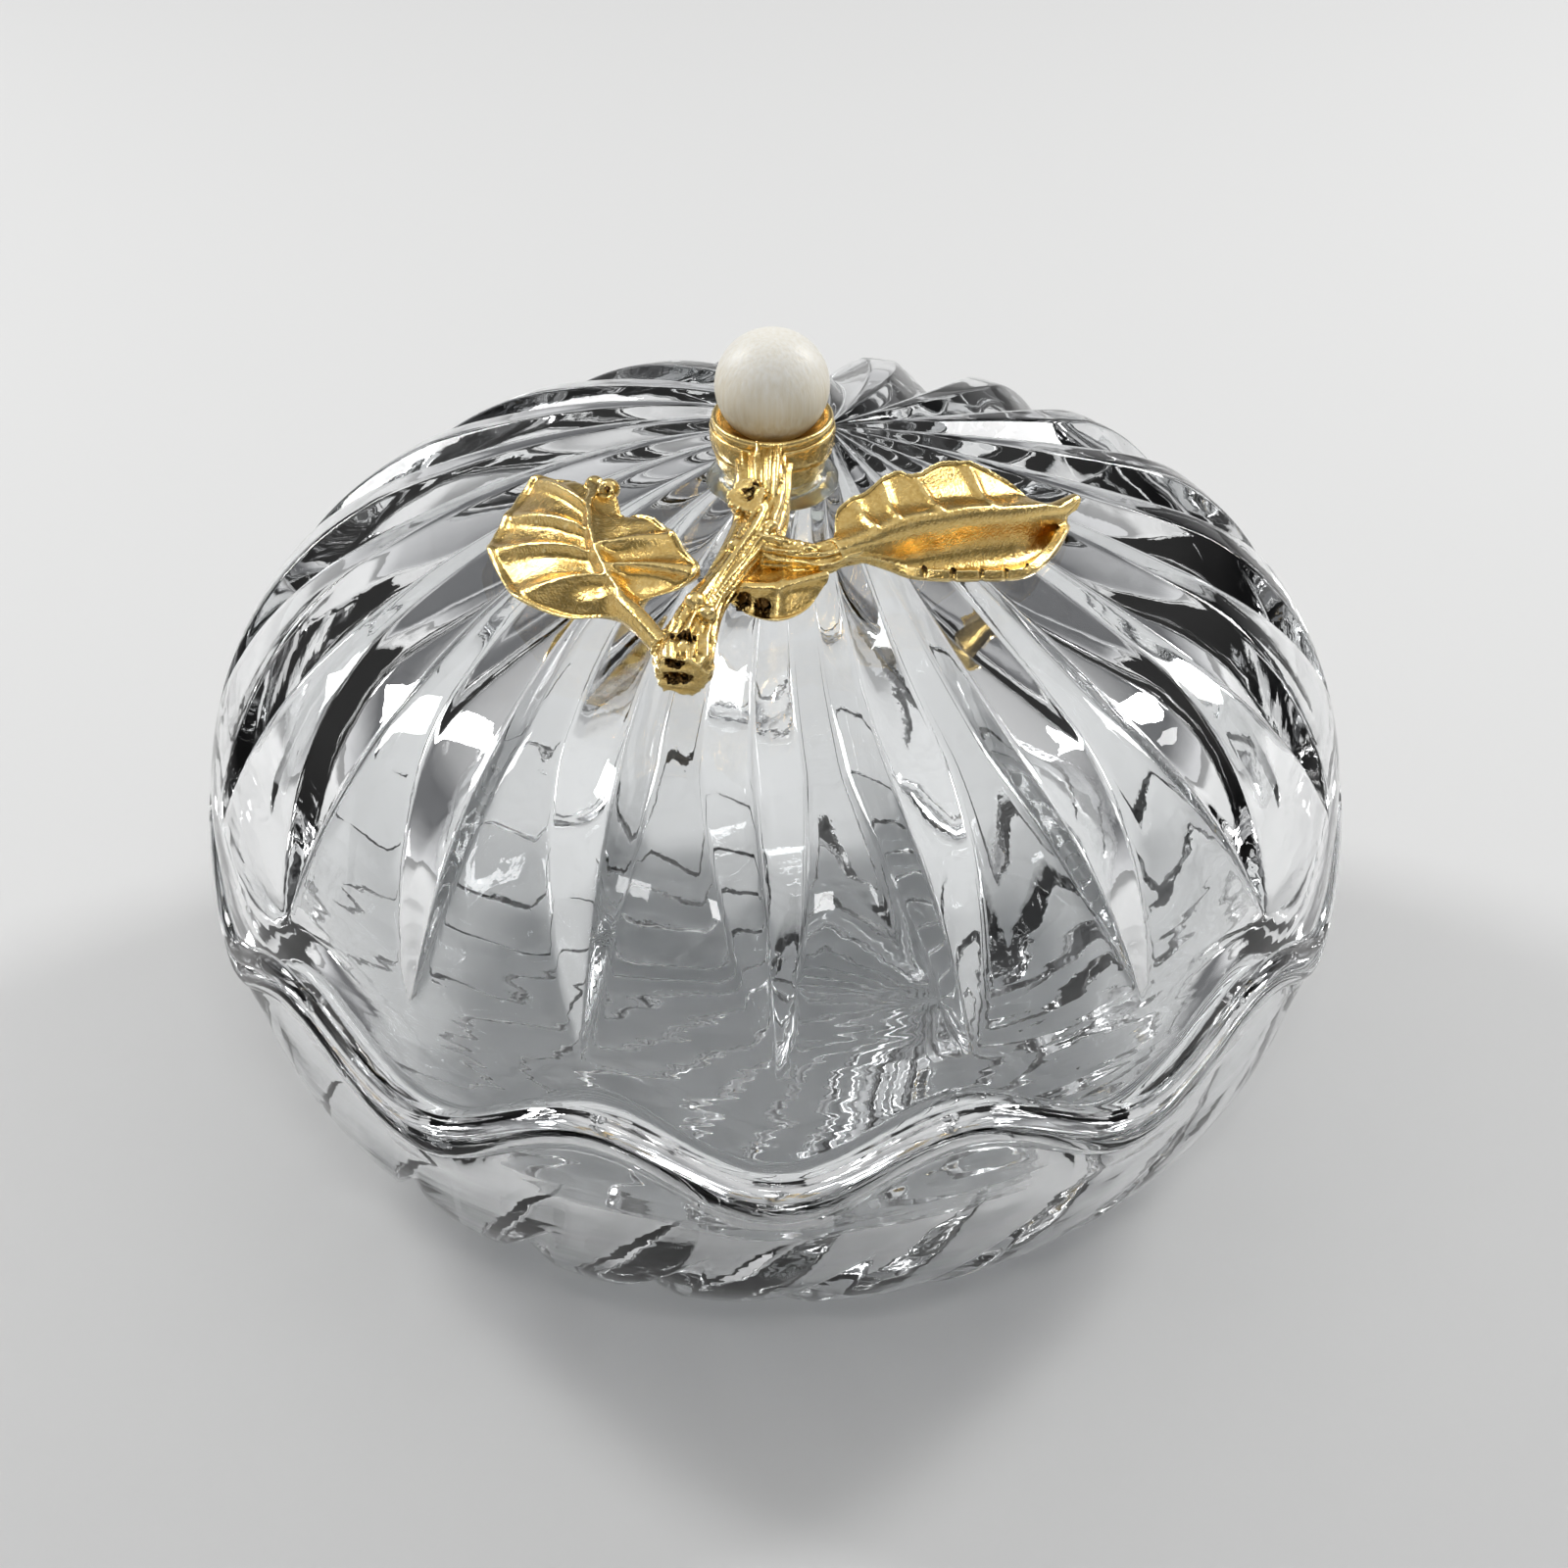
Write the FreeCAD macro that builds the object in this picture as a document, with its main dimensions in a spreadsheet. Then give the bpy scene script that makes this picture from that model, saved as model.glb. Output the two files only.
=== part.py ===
import FreeCAD, Part
import math
import os
import Sketcher
from FreeCAD import Vector

# Round cut-glass trinket box: a bowl and a domed lid that meet on a wavy rim,
# with a gilt spray, a bead cup and an imitation pearl on the crown of the lid.
# +Z is up, the origin is the middle of the foot, and the front faces -Y.

doc = FreeCAD.newDocument("glass_trinket_box")
sheet = doc.addObject("Spreadsheet::Sheet", "sizes")

# Driving sizes: millimetres, degrees (bearings, turns, angles) and counts.
drivingSizes = {
    "girth_radius": 63.0,
    "girth_height": 43.6,
    "crown_height": 80.2,
    "shoulder_share": 0.82,
    "side_radius": 80.0,
    "belly_start_height": 26.0,
    "foot_grind_depth": 1.3,
    "wall_thickness": 8.0,
    "seam_height": 36.0,
    "seam_gap": 0.35,
    "wave_amplitude": 3.5,
    "wave_count": 10,
    "wave_crest_bearing": -72.0,
    "cut_overrun": 1.0,
    "flute_count": 20,
    "flute_depth": 3.7,
    "flute_half_angle": 54.0,
    "flute_tip_rise": 6.0,
    "flute_first_bearing": -90.0,
    "flute_twist": -18.0,
    "star_offset_right": 6.0,
    "star_offset_back": 13.0,
    "petal_count": 22,
    "petal_depth": 2.4,
    "petal_tip_height": 22.5,
    "petal_first_bearing": -96.7,
    "petal_swirl": -24.0,
    "petal_steep_angle": 40.0,
    "petal_shallow_angle": 70.0,
    "cup_foot_radius": 4.7,
    "cup_band_radius": 6.6,
    "cup_height": 7.8,
    "cup_band_height": 3.6,
    "pearl_diameter": 12.2,
    "pearl_lift": 11.4,
    "pearl_clearance": 0.1,
    "peg_diameter": 1.2,
    "peg_length": 7.0,
    "peg_socket_depth": 1.6,
    "peg_clearance": 0.05,
    "cement_radius": 7.3,
    "cement_height": 1.5,
    "stem_lift": 4.5,
    "stem_radius": 2.3,
    "fork_reach": 16.4,
    "fork_bearing": -98.4,
    "fork_lift": 2.7,
    "fork_radius": 2.4,
    "stub_reach": 35.9,
    "stub_bearing": -104.6,
    "stub_lift": 3.4,
    "stub_radius": 3.0,
    "side_twig_reach": 19.4,
    "side_twig_bearing": -46.6,
    "side_twig_lift": 3.0,
    "side_twig_radius": 1.5,
    "leaf_thickness": 0.9,
    "left_leaf_base_reach": 33.4,
    "left_leaf_base_bearing": -113.0,
    "left_leaf_tip_reach": 23.0,
    "left_leaf_tip_bearing": -180.0,
    "left_leaf_outer_width": 9.8,
    "left_leaf_inner_width": 7.9,
    "left_leaf_rib_radius": 1.1,
    "left_leaf_lift": 3.6,
    "left_leaf_outer_lift": 1.6,
    "left_leaf_inner_lift": 4.6,
    "right_leaf_base_reach": 18.4,
    "right_leaf_base_bearing": -58.0,
    "right_leaf_tip_reach": 32.0,
    "right_leaf_tip_bearing": -5.5,
    "right_leaf_outer_width": 7.2,
    "right_leaf_inner_width": 5.0,
    "right_leaf_rib_radius": 1.1,
    "right_leaf_lift": 3.4,
    "right_leaf_outer_lift": 1.5,
    "right_leaf_inner_lift": 5.2,
    "bud_base_reach": 23.8,
    "bud_base_bearing": -96.0,
    "bud_tip_reach": 22.3,
    "bud_tip_bearing": -68.6,
    "bud_outer_width": 3.4,
    "bud_inner_width": 2.6,
    "bud_rib_radius": 0.6,
    "bud_lift": 1.3,
    "bud_outer_lift": 2.6,
    "bud_inner_lift": 2.8,
}
for row, (alias, value) in enumerate(drivingSizes.items(), start=1):
    sheet.set(f"A{row}", alias)
    sheet.set(f"B{row}", str(value))
    sheet.setAlias(f"B{row}", alias)
doc.recompute()


def size(alias):
    return float(sheet.get(alias))


def count(alias):
    return int(round(size(alias)))


def blend(first, last, share):
    return first + (last - first) * share


# Sketches

def addSketch(body):
    sketch = body.newObject("Sketcher::SketchObject", body.Name + "_profile")
    plane = next(f for f in body.Origin.OriginFeatures if f.Role == "XZ_Plane")
    sketch.AttachmentSupport = (plane, [""])
    sketch.MapMode = "FlatFace"
    return sketch


def addArc(sketch, centre, radius, start, end):
    circle = Part.Circle(Vector(*centre, 0), Vector(0, 0, 1), radius)
    return sketch.addGeometry(Part.ArcOfCircle(circle, start, end))


def addLine(sketch, start, end):
    return sketch.addGeometry(Part.LineSegment(Vector(*start, 0), Vector(*end, 0)))


def dimension(sketch, name, expression, kind, *where):
    index = sketch.addConstraint(Sketcher.Constraint(kind, *where))
    sketch.renameConstraint(index, name)
    sketch.setExpression("Constraints." + name, expression)


def relate(sketch, kind, *where):
    sketch.addConstraint(Sketcher.Constraint(kind, *where))


def revolve(body, sketch):
    axis = next(f for f in body.Origin.OriginFeatures if f.Role == "Z_Axis")
    turned = body.newObject("PartDesign::Revolution", body.Name + "_turned")
    turned.Profile = sketch
    turned.ReferenceAxis = (axis, [""])
    turned.Angle = 360
    doc.recompute()
    return turned


# Outline of the closed box, from the driving sizes

girth = size("girth_radius")
girthHeight = size("girth_height")
crownHeight = size("crown_height")
sideRadius = size("side_radius")
bellyStart = size("belly_start_height")
wall = size("wall_thickness")
domeRise = crownHeight - girthHeight
shoulderRadius = domeRise * size("shoulder_share")
shoulderCentre = girth - shoulderRadius
crownSquares = shoulderCentre ** 2 + domeRise ** 2 - shoulderRadius ** 2
crownRadius = crownSquares / (2 * (domeRise - shoulderRadius))
crownCentre = crownHeight - crownRadius
crownLean = math.atan2(shoulderCentre, girthHeight - crownCentre)
crownEdge = crownRadius * math.sin(crownLean)
bellyLean = math.asin((girthHeight - bellyStart) / sideRadius)
bellyRadius = (bellyStart + size("foot_grind_depth")) / (1 - math.sin(bellyLean))
bellyReach = sideRadius - bellyRadius
sideCentre = (girth - sideRadius, girthHeight)
bellyCentreReach = sideCentre[0] + bellyReach * math.cos(bellyLean)
bellyCentre = (bellyCentreReach, girthHeight - bellyReach * math.sin(bellyLean))
rimAllowance = 2 * size("wave_amplitude")
lidBottom = size("seam_height") - rimAllowance

# Point and axis numbers of a sketch
START, END, CENTRE = range(1, 4)
HORIZONTAL_AXIS, VERTICAL_AXIS = range(-1, -3, -1)
ORIGIN = (HORIZONTAL_AXIS, START)


# Lid blank: a dome of even thickness from the crown down past the seam

lidBody = doc.addObject("PartDesign::Body", "lid_blank")
profile = addSketch(lidBody)
lidDrop = math.asin((girthHeight - lidBottom) / sideRadius)
innerDrop = math.asin((girthHeight - lidBottom) / (sideRadius - wall))
crownAngle = math.pi / 2 - crownLean
lidDepth = (sideCentre[0] + sideRadius * math.cos(lidDrop), lidBottom)
lidInside = (sideCentre[0] + (sideRadius - wall) * math.cos(innerDrop), lidBottom)
crown = addArc(profile, (0, crownCentre), crownRadius, crownAngle, math.pi / 2)
shoulder = addArc(profile, (shoulderCentre, girthHeight), shoulderRadius, 0, crownAngle)
side = addArc(profile, sideCentre, sideRadius, -lidDrop, 0)
rim = addLine(profile, lidDepth, lidInside)
innerSide = addArc(profile, sideCentre, sideRadius - wall, -innerDrop, 0)
innerShoulder = addArc(profile, (shoulderCentre, girthHeight), shoulderRadius - wall, 0, crownAngle)
innerCrown = addArc(profile, (0, crownCentre), crownRadius - wall, crownAngle, math.pi / 2)
middle = addLine(profile, (0, crownHeight - wall), (0, crownHeight))
relate(profile, "Tangent", crown, START, shoulder, END)
relate(profile, "Tangent", shoulder, START, side, END)
relate(profile, "Coincident", side, START, rim, START)
relate(profile, "Coincident", rim, END, innerSide, START)
relate(profile, "Tangent", innerSide, END, innerShoulder, START)
relate(profile, "Tangent", innerShoulder, END, innerCrown, START)
relate(profile, "Coincident", innerCrown, END, middle, START)
relate(profile, "Coincident", middle, END, crown, END)
relate(profile, "PointOnObject", crown, END, VERTICAL_AXIS)
relate(profile, "PointOnObject", crown, CENTRE, VERTICAL_AXIS)
relate(profile, "PointOnObject", innerCrown, END, VERTICAL_AXIS)
relate(profile, "Coincident", innerCrown, CENTRE, crown, CENTRE)
relate(profile, "Coincident", innerShoulder, CENTRE, shoulder, CENTRE)
relate(profile, "Coincident", innerSide, CENTRE, side, CENTRE)
relate(profile, "Horizontal", rim)
relate(profile, "Horizontal", shoulder, CENTRE, shoulder, START)
dimension(profile, "crown", "sizes.crown_height", "DistanceY", *ORIGIN, crown, END, crownHeight)
dimension(profile, "girth", "sizes.girth_radius", "DistanceX", *ORIGIN, shoulder, START, girth)
dimension(profile, "girthLevel", "sizes.girth_height", "DistanceY", *ORIGIN, shoulder, START, girthHeight)
shoulderText = "(sizes.crown_height - sizes.girth_height) * sizes.shoulder_share"
dimension(profile, "shoulder", shoulderText, "Radius", shoulder, shoulderRadius)
dimension(profile, "side", "sizes.side_radius", "Radius", side, sideRadius)
dimension(profile, "wall", "sizes.wall_thickness", "DistanceX", innerSide, END, side, END, wall)
bottomText = "sizes.seam_height - 2 * sizes.wave_amplitude"
dimension(profile, "bottom", bottomText, "DistanceY", *ORIGIN, rim, START, lidBottom)
revolve(lidBody, profile)


# Bowl blank: the same wall carried on round the belly to a flat foot

bowlBody = doc.addObject("PartDesign::Body", "bowl_blank")
profile = addSketch(bowlBody)
footAngle = -math.asin(bellyCentre[1] / bellyRadius)
footRadius = bellyCentre[0] + bellyRadius * math.cos(footAngle)
floorHeight = bellyCentre[1] - bellyRadius + wall
side = addArc(profile, sideCentre, sideRadius, -bellyLean, 0)
belly = addArc(profile, bellyCentre, bellyRadius, footAngle, -bellyLean)
foot = addLine(profile, (footRadius, 0), (0, 0))
middle = addLine(profile, (0, 0), (0, floorHeight))
floor = addLine(profile, (0, floorHeight), (bellyCentre[0], floorHeight))
innerBelly = addArc(profile, bellyCentre, bellyRadius - wall, -math.pi / 2, -bellyLean)
innerSide = addArc(profile, sideCentre, sideRadius - wall, -bellyLean, 0)
top = addLine(profile, (girth - wall, girthHeight), (girth, girthHeight))
relate(profile, "Tangent", side, START, belly, END)
relate(profile, "Coincident", belly, START, foot, START)
relate(profile, "Coincident", foot, END, *ORIGIN)
relate(profile, "Coincident", middle, START, *ORIGIN)
relate(profile, "Coincident", middle, END, floor, START)
relate(profile, "Tangent", floor, END, innerBelly, START)
relate(profile, "Tangent", innerBelly, END, innerSide, START)
relate(profile, "Coincident", innerSide, END, top, START)
relate(profile, "Coincident", top, END, side, END)
relate(profile, "PointOnObject", middle, END, VERTICAL_AXIS)
relate(profile, "PointOnObject", belly, START, HORIZONTAL_AXIS)
relate(profile, "Coincident", innerBelly, CENTRE, belly, CENTRE)
relate(profile, "Coincident", innerSide, CENTRE, side, CENTRE)
relate(profile, "Horizontal", side, CENTRE, side, END)
relate(profile, "Horizontal", floor)
relate(profile, "Horizontal", top)
dimension(profile, "girth", "sizes.girth_radius", "DistanceX", *ORIGIN, side, END, girth)
dimension(profile, "girthLevel", "sizes.girth_height", "DistanceY", *ORIGIN, side, END, girthHeight)
dimension(profile, "side", "sizes.side_radius", "Radius", side, sideRadius)
bellySine = "(sizes.girth_height - sizes.belly_start_height) / sizes.side_radius"
bellyText = f"(sizes.belly_start_height + sizes.foot_grind_depth) / (1 - {bellySine})"
dimension(profile, "belly", bellyText, "Radius", belly, bellyRadius)
dimension(profile, "bellyStart", "sizes.belly_start_height", "DistanceY", *ORIGIN, side, START, bellyStart)
dimension(profile, "wall", "sizes.wall_thickness", "DistanceX", innerSide, END, side, END, wall)
revolve(bowlBody, profile)


# Wavy seam: one wave runs round both rims, with a gap between them

def waveCurve(radius, height):
    points = []
    steps = count("wave_count") * waveStepCount
    for step in range(steps):
        bearing = 2 * math.pi * step / steps
        phase = count("wave_count") * (bearing - math.radians(size("wave_crest_bearing")))
        level = height + size("wave_amplitude") * math.cos(phase)
        points.append(Vector(radius * math.cos(bearing), radius * math.sin(bearing), level))
    curve = Part.BSplineCurve()
    curve.interpolate(Points=points, PeriodicFlag=True)
    return curve.toShape()


def waveCutter(name, height, travel):
    inside = girth - wall - size("cut_overrun") - rimAllowance
    inner = waveCurve(inside, height)
    outer = waveCurve(girth + size("cut_overrun"), height)
    cutter = doc.addObject("Part::Feature", name)
    cutter.Shape = Part.makeRuledSurface(inner, outer).extrude(Vector(0, 0, travel))
    return cutter


waveStepCount = 8
halfGap = size("seam_gap") / 2
cutTravel = 2 * rimAllowance + girthHeight - size("seam_height")
belowSeam = waveCutter("below_seam", size("seam_height") + halfGap, -cutTravel)
aboveSeam = waveCutter("above_seam", size("seam_height") - halfGap, cutTravel)


# Flutes: mitre cuts that fan out from a star behind the middle of the lid

def domeFrame(x, y):
    reach = math.hypot(x, y)
    if reach < crownEdge:
        lean = math.asin(reach / crownRadius)
        level = crownCentre + crownRadius * math.cos(lean)
    else:
        lean = math.asin(min(1, (reach - shoulderCentre) / shoulderRadius))
        level = girthHeight + shoulderRadius * math.cos(lean)
    bearing = math.atan2(y, x)
    spread = math.sin(lean)
    outward = Vector(spread * math.cos(bearing), spread * math.sin(bearing), math.cos(lean))
    return Vector(x, y, level), outward


tipLean = math.acos(size("flute_tip_rise") / shoulderRadius)
crownRun = crownRadius * crownLean
fluteRun = crownRun + shoulderRadius * (tipLean - crownLean)
tipReach = shoulderCentre + shoulderRadius * math.sin(tipLean)
fluteStationShares = (0.08, 0.2, 0.36, 0.52, 0.64, 0.74, 0.84, 0.93, 1.0, 1.03)
flutePeakShare = 0.64
fluteStepShare = 0.04


def flutePoint(bearing, share):
    run = share * fluteRun
    if run < crownRun:
        reach = crownRadius * math.sin(run / crownRadius)
    else:
        reach = shoulderCentre + shoulderRadius * math.sin(crownLean + (run - crownRun) / shoulderRadius)
    inward = 1 - reach / tipReach
    turned = math.radians(bearing + size("flute_twist") * inward)
    x = size("star_offset_right") * inward + reach * math.cos(turned)
    y = size("star_offset_back") * inward + reach * math.sin(turned)
    return domeFrame(x, y)


def fluteDepth(share):
    if share < flutePeakShare:
        return size("flute_depth") * share / flutePeakShare
    past = (share - flutePeakShare) / (1 - flutePeakShare)
    return size("flute_depth") * (1 - past ** 2)


def mitreSection(point, outward, along, depth, left, right):
    across = outward.cross(along).normalize()
    apex = point - outward * depth
    rise = depth + size("cut_overrun")
    top = apex + outward * rise
    return Part.makePolygon([apex, top + across * rise * left, top - across * rise * right, apex])


def fluteCutter(bearing):
    slope = math.tan(math.radians(size("flute_half_angle")))
    sections = []
    for share in fluteStationShares:
        point, outward = flutePoint(bearing, share)
        ahead = flutePoint(bearing, share + fluteStepShare)[0]
        behind = flutePoint(bearing, share - fluteStepShare)[0]
        depth = fluteDepth(share)
        sections.append(mitreSection(point, outward, ahead - behind, depth, slope, slope))
    return Part.makeLoft(sections, True, True)


flutePitch = 360 / count("flute_count")
fluteBearings = [size("flute_first_bearing") + flutePitch * turn for turn in range(count("flute_count"))]


def addCutters(name, cutters):
    group = doc.addObject("Part::Feature", name)
    group.Shape = Part.makeCompound(cutters)
    return group


# Neighbouring flutes go in two sets, because their cutters meet above the glass
firstFlutes = addCutters("first_flutes", [fluteCutter(bearing) for bearing in fluteBearings[0::2]])
secondFlutes = addCutters("second_flutes", [fluteCutter(bearing) for bearing in fluteBearings[1::2]])


# Petals: lopsided swirled cuts from below the seam down to the foot

petalTipAngle = math.asin((bellyCentre[1] - size("petal_tip_height")) / bellyRadius)
petalStationShares = (-0.04, 0.0, 0.12, 0.3, 0.5, 0.75, 1.0, 1.05)
petalStepShare = 0.06
petalSweepShare = 0.8


def petalPoint(bearing, share):
    angle = petalTipAngle + share * (-footAngle - petalTipAngle)
    turned = math.radians(bearing + size("petal_swirl") * share)
    reach = bellyCentre[0] + bellyRadius * math.cos(angle)
    level = bellyCentre[1] - bellyRadius * math.sin(angle)
    spread = math.cos(angle)
    outward = Vector(spread * math.cos(turned), spread * math.sin(turned), -math.sin(angle))
    return Vector(reach * math.cos(turned), reach * math.sin(turned), level), outward


def petalCutter(bearing):
    steep = math.tan(math.radians(size("petal_steep_angle")))
    shallow = math.tan(math.radians(size("petal_shallow_angle")))
    sections = []
    for share in petalStationShares:
        point, outward = petalPoint(bearing, share)
        ahead = petalPoint(bearing, share + petalStepShare)[0]
        behind = petalPoint(bearing, share - petalStepShare)[0]
        depth = size("petal_depth") * math.sin(math.pi * petalSweepShare * share)
        sections.append(mitreSection(point, outward, ahead - behind, depth, shallow, steep))
    return Part.makeLoft(sections, True, True)


petalPitch = 360 / count("petal_count")
petalBearings = [size("petal_first_bearing") + petalPitch * turn for turn in range(count("petal_count"))]
petalCutters = addCutters("petal_cutters", [petalCutter(bearing) for bearing in petalBearings])


def cut(name, base, tool):
    result = doc.addObject("Part::Cut", name)
    result.Base = base
    result.Tool = tool
    return result


halfFlutedLid = cut("half_fluted_lid", lidBody, firstFlutes)
flutedLid = cut("fluted_lid", halfFlutedLid, secondFlutes)
lid = cut("lid", flutedLid, belowSeam)
petalledBowl = cut("petalled_bowl", bowlBody, petalCutters)
bowl = cut("bowl", petalledBowl, aboveSeam)
doc.recompute()


# Bead cup: a turned cup with a plain band, seated on the crown

cupBody = doc.addObject("PartDesign::Body", "cup_blank")
profile = addSketch(cupBody)
cupFoot = size("cup_foot_radius")
cupBand = size("cup_band_radius")
cupHeight = size("cup_height")
bandStart = cupHeight - size("cup_band_height")
pearlLift = size("pearl_lift")
seatRadius = size("pearl_diameter") / 2 + size("pearl_clearance")
rimReach = math.sqrt(seatRadius ** 2 - (pearlLift - cupHeight) ** 2)
rimAngle = math.atan2(cupHeight - pearlLift, rimReach)
base = addLine(profile, (0, crownHeight), (cupFoot, crownHeight))
taper = addLine(profile, (cupFoot, crownHeight), (cupBand, crownHeight + bandStart))
band = addLine(profile, (cupBand, crownHeight + bandStart), (cupBand, crownHeight + cupHeight))
lip = addLine(profile, (cupBand, crownHeight + cupHeight), (rimReach, crownHeight + cupHeight))
seat = addArc(profile, (0, crownHeight + pearlLift), seatRadius, -math.pi / 2, rimAngle)
middle = addLine(profile, (0, crownHeight + pearlLift - seatRadius), (0, crownHeight))
for before, after in ((base, taper), (taper, band), (band, lip)):
    relate(profile, "Coincident", before, END, after, START)
relate(profile, "Coincident", lip, END, seat, END)
relate(profile, "Coincident", seat, START, middle, START)
relate(profile, "Coincident", middle, END, base, START)
relate(profile, "PointOnObject", base, START, VERTICAL_AXIS)
relate(profile, "PointOnObject", seat, START, VERTICAL_AXIS)
relate(profile, "PointOnObject", seat, CENTRE, VERTICAL_AXIS)
relate(profile, "Horizontal", base)
relate(profile, "Vertical", band)
relate(profile, "Horizontal", lip)
dimension(profile, "crown", "sizes.crown_height", "DistanceY", *ORIGIN, base, START, crownHeight)
dimension(profile, "foot", "sizes.cup_foot_radius", "DistanceX", base, START, base, END, cupFoot)
dimension(profile, "bandRadius", "sizes.cup_band_radius", "DistanceX", *ORIGIN, band, START, cupBand)
bandHeight = size("cup_band_height")
dimension(profile, "bandHeight", "sizes.cup_band_height", "DistanceY", band, START, band, END, bandHeight)
dimension(profile, "height", "sizes.cup_height", "DistanceY", base, END, band, END, cupHeight)
seatText = "sizes.pearl_diameter / 2 + sizes.pearl_clearance"
dimension(profile, "seat", seatText, "Radius", seat, seatRadius)
dimension(profile, "pearlLift", "sizes.pearl_lift", "DistanceY", base, START, seat, CENTRE, pearlLift)
revolve(cupBody, profile)


# Peg, pearl and the cement round the cup's foot

def addPrimitive(kind, name, height, **measures):
    shape = doc.addObject(kind, name)
    for key, expression in measures.items():
        shape.setExpression(key, expression)
    shape.setExpression(".Placement.Base.z", height)
    return shape


pegFoot = "sizes.crown_height + sizes.pearl_lift - sizes.pearl_diameter / 2"
pegBottom = f"{pegFoot} - sizes.pearl_clearance - sizes.peg_socket_depth"
pegRadius = "sizes.peg_diameter / 2"
holeRadius = pegRadius + " + sizes.peg_clearance"
peg = addPrimitive("Part::Cylinder", "pearl_peg", pegBottom, Radius=pegRadius, Height="sizes.peg_length")
holeLength = "sizes.peg_length + sizes.peg_clearance"
pegHole = addPrimitive("Part::Cylinder", "peg_hole", pegBottom, Radius=holeRadius, Height=holeLength)
ball = addPrimitive("Part::Sphere", "pearl_ball", "sizes.crown_height + sizes.pearl_lift",
                     Radius="sizes.pearl_diameter / 2")
pearl = cut("pearl", ball, pegHole)
cup = cut("finial_cup", cupBody, pegHole)
cupSpread = "(sizes.cup_band_radius - sizes.cup_foot_radius) / (sizes.cup_height - sizes.cup_band_height)"
cementTop = f"sizes.cup_foot_radius + sizes.cement_height * {cupSpread}"
cone = addPrimitive("Part::Cone", "cement_cone", "sizes.crown_height", Radius1="sizes.cement_radius",
                     Radius2=cementTop + " + sizes.peg_clearance", Height="sizes.cement_height")
core = addPrimitive("Part::Cone", "cement_core", "sizes.crown_height", Radius1="sizes.cup_foot_radius",
                     Radius2=cementTop, Height="sizes.cement_height")
cement = cut("cup_cement", cone, core)
doc.recompute()


# Gilt spray: twigs and leaves that follow the dome

def place(reach, bearing, lift):
    x = reach * math.cos(math.radians(bearing))
    y = reach * math.sin(math.radians(bearing))
    return domeFrame(x, y)[0] + Vector(0, 0, lift)


def stick(points, radii):
    rings = []
    before = points[:1] + points
    after = points[1:] + points[-1:]
    for behind, point, ahead, radius in zip(before, points, after, radii):
        rings.append(Part.Wire(Part.makeCircle(radius, point, (ahead - behind).normalize())))
    return Part.makeLoft(rings, True)


fork = place(size("fork_reach"), size("fork_bearing"), size("fork_lift"))
stemTop = place(cupFoot, size("fork_bearing"), size("stem_lift"))
stub = place(size("stub_reach"), size("stub_bearing"), size("stub_lift"))
stemMiddleShare = 0.5
stubShares = (0.35, 0.68, 1.0)
stubSwellShares = (0.9, 0.86, 1.0)
stubPoints = [stemTop, blend(stemTop, fork, stemMiddleShare), fork]
stubRadii = [size("stem_radius"), size("stem_radius"), size("fork_radius")]
for share, swell in zip(stubShares, stubSwellShares):
    reach = blend(size("fork_reach"), size("stub_reach"), share)
    bearing = blend(size("fork_bearing"), size("stub_bearing"), share)
    stubPoints.append(place(reach, bearing, blend(size("fork_lift"), size("stub_lift"), share)))
    stubRadii.append(blend(size("fork_radius"), size("stub_radius"), share) * swell)
sideShares = (0.0, 0.25, 0.5, 0.75, 1.0)
sidePoints = []
sideRadii = []
for share in sideShares:
    reach = blend(size("fork_reach"), size("side_twig_reach"), share)
    bearing = blend(size("fork_bearing"), size("side_twig_bearing"), share)
    sidePoints.append(place(reach, bearing, blend(size("fork_lift"), size("side_twig_lift"), share)))
    sideRadii.append(blend(size("fork_radius"), size("side_twig_radius"), math.sqrt(share)))
twig = doc.addObject("Part::Feature", "twig")
twigSolid = stick(stubPoints, stubRadii).fuse(stick(sidePoints, sideRadii)).removeSplitter()
twig.Shape = twigSolid.cut(cup.Shape)


def leafSection(middle, outer, inner, drop):
    upper = Part.BSplineCurve()
    upper.interpolate(Points=[outer, middle, inner])
    lower = Part.BSplineCurve()
    lower.interpolate(Points=[inner - drop, middle - drop, outer - drop])
    innerEdge = Part.makeLine(inner, inner - drop)
    outerEdge = Part.makeLine(outer - drop, outer)
    return Part.Wire([upper.toShape(), innerEdge, lower.toShape(), outerEdge])


# Stations along each midrib, and the leaf's width there on its outer and inner side
leafStationShares = {
    "left_leaf": (0.0, 0.14, 0.21, 0.33, 0.47, 0.58, 0.71, 0.83, 0.93, 1.0),
    "right_leaf": (0.0, 0.12, 0.24, 0.37, 0.5, 0.6, 0.7, 0.8, 0.92, 1.0),
    "bud": (0.0, 0.2, 0.45, 0.7, 0.9, 1.0),
}
leafOuterShares = {
    "left_leaf": (0.13, 0.13, 0.24, 0.66, 0.9, 0.97, 1.0, 0.87, 0.57, 0.25),
    "right_leaf": (0.3, 0.58, 0.74, 0.86, 0.95, 1.0, 0.7, 0.44, 0.19, 0.06),
    "bud": (0.2, 0.8, 1.0, 0.9, 0.5, 0.1),
}
leafInnerShares = {
    "left_leaf": (0.16, 0.18, 1.0, 0.94, 0.8, 0.38, 0.52, 0.33, 0.2, 0.1),
    "right_leaf": (0.6, 0.84, 1.0, 0.82, 0.98, 0.86, 0.5, 0.16, 0.12, 0.06),
    "bud": (0.2, 0.8, 1.0, 0.8, 0.4, 0.1),
}
ribTipShare = 0.5


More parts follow.
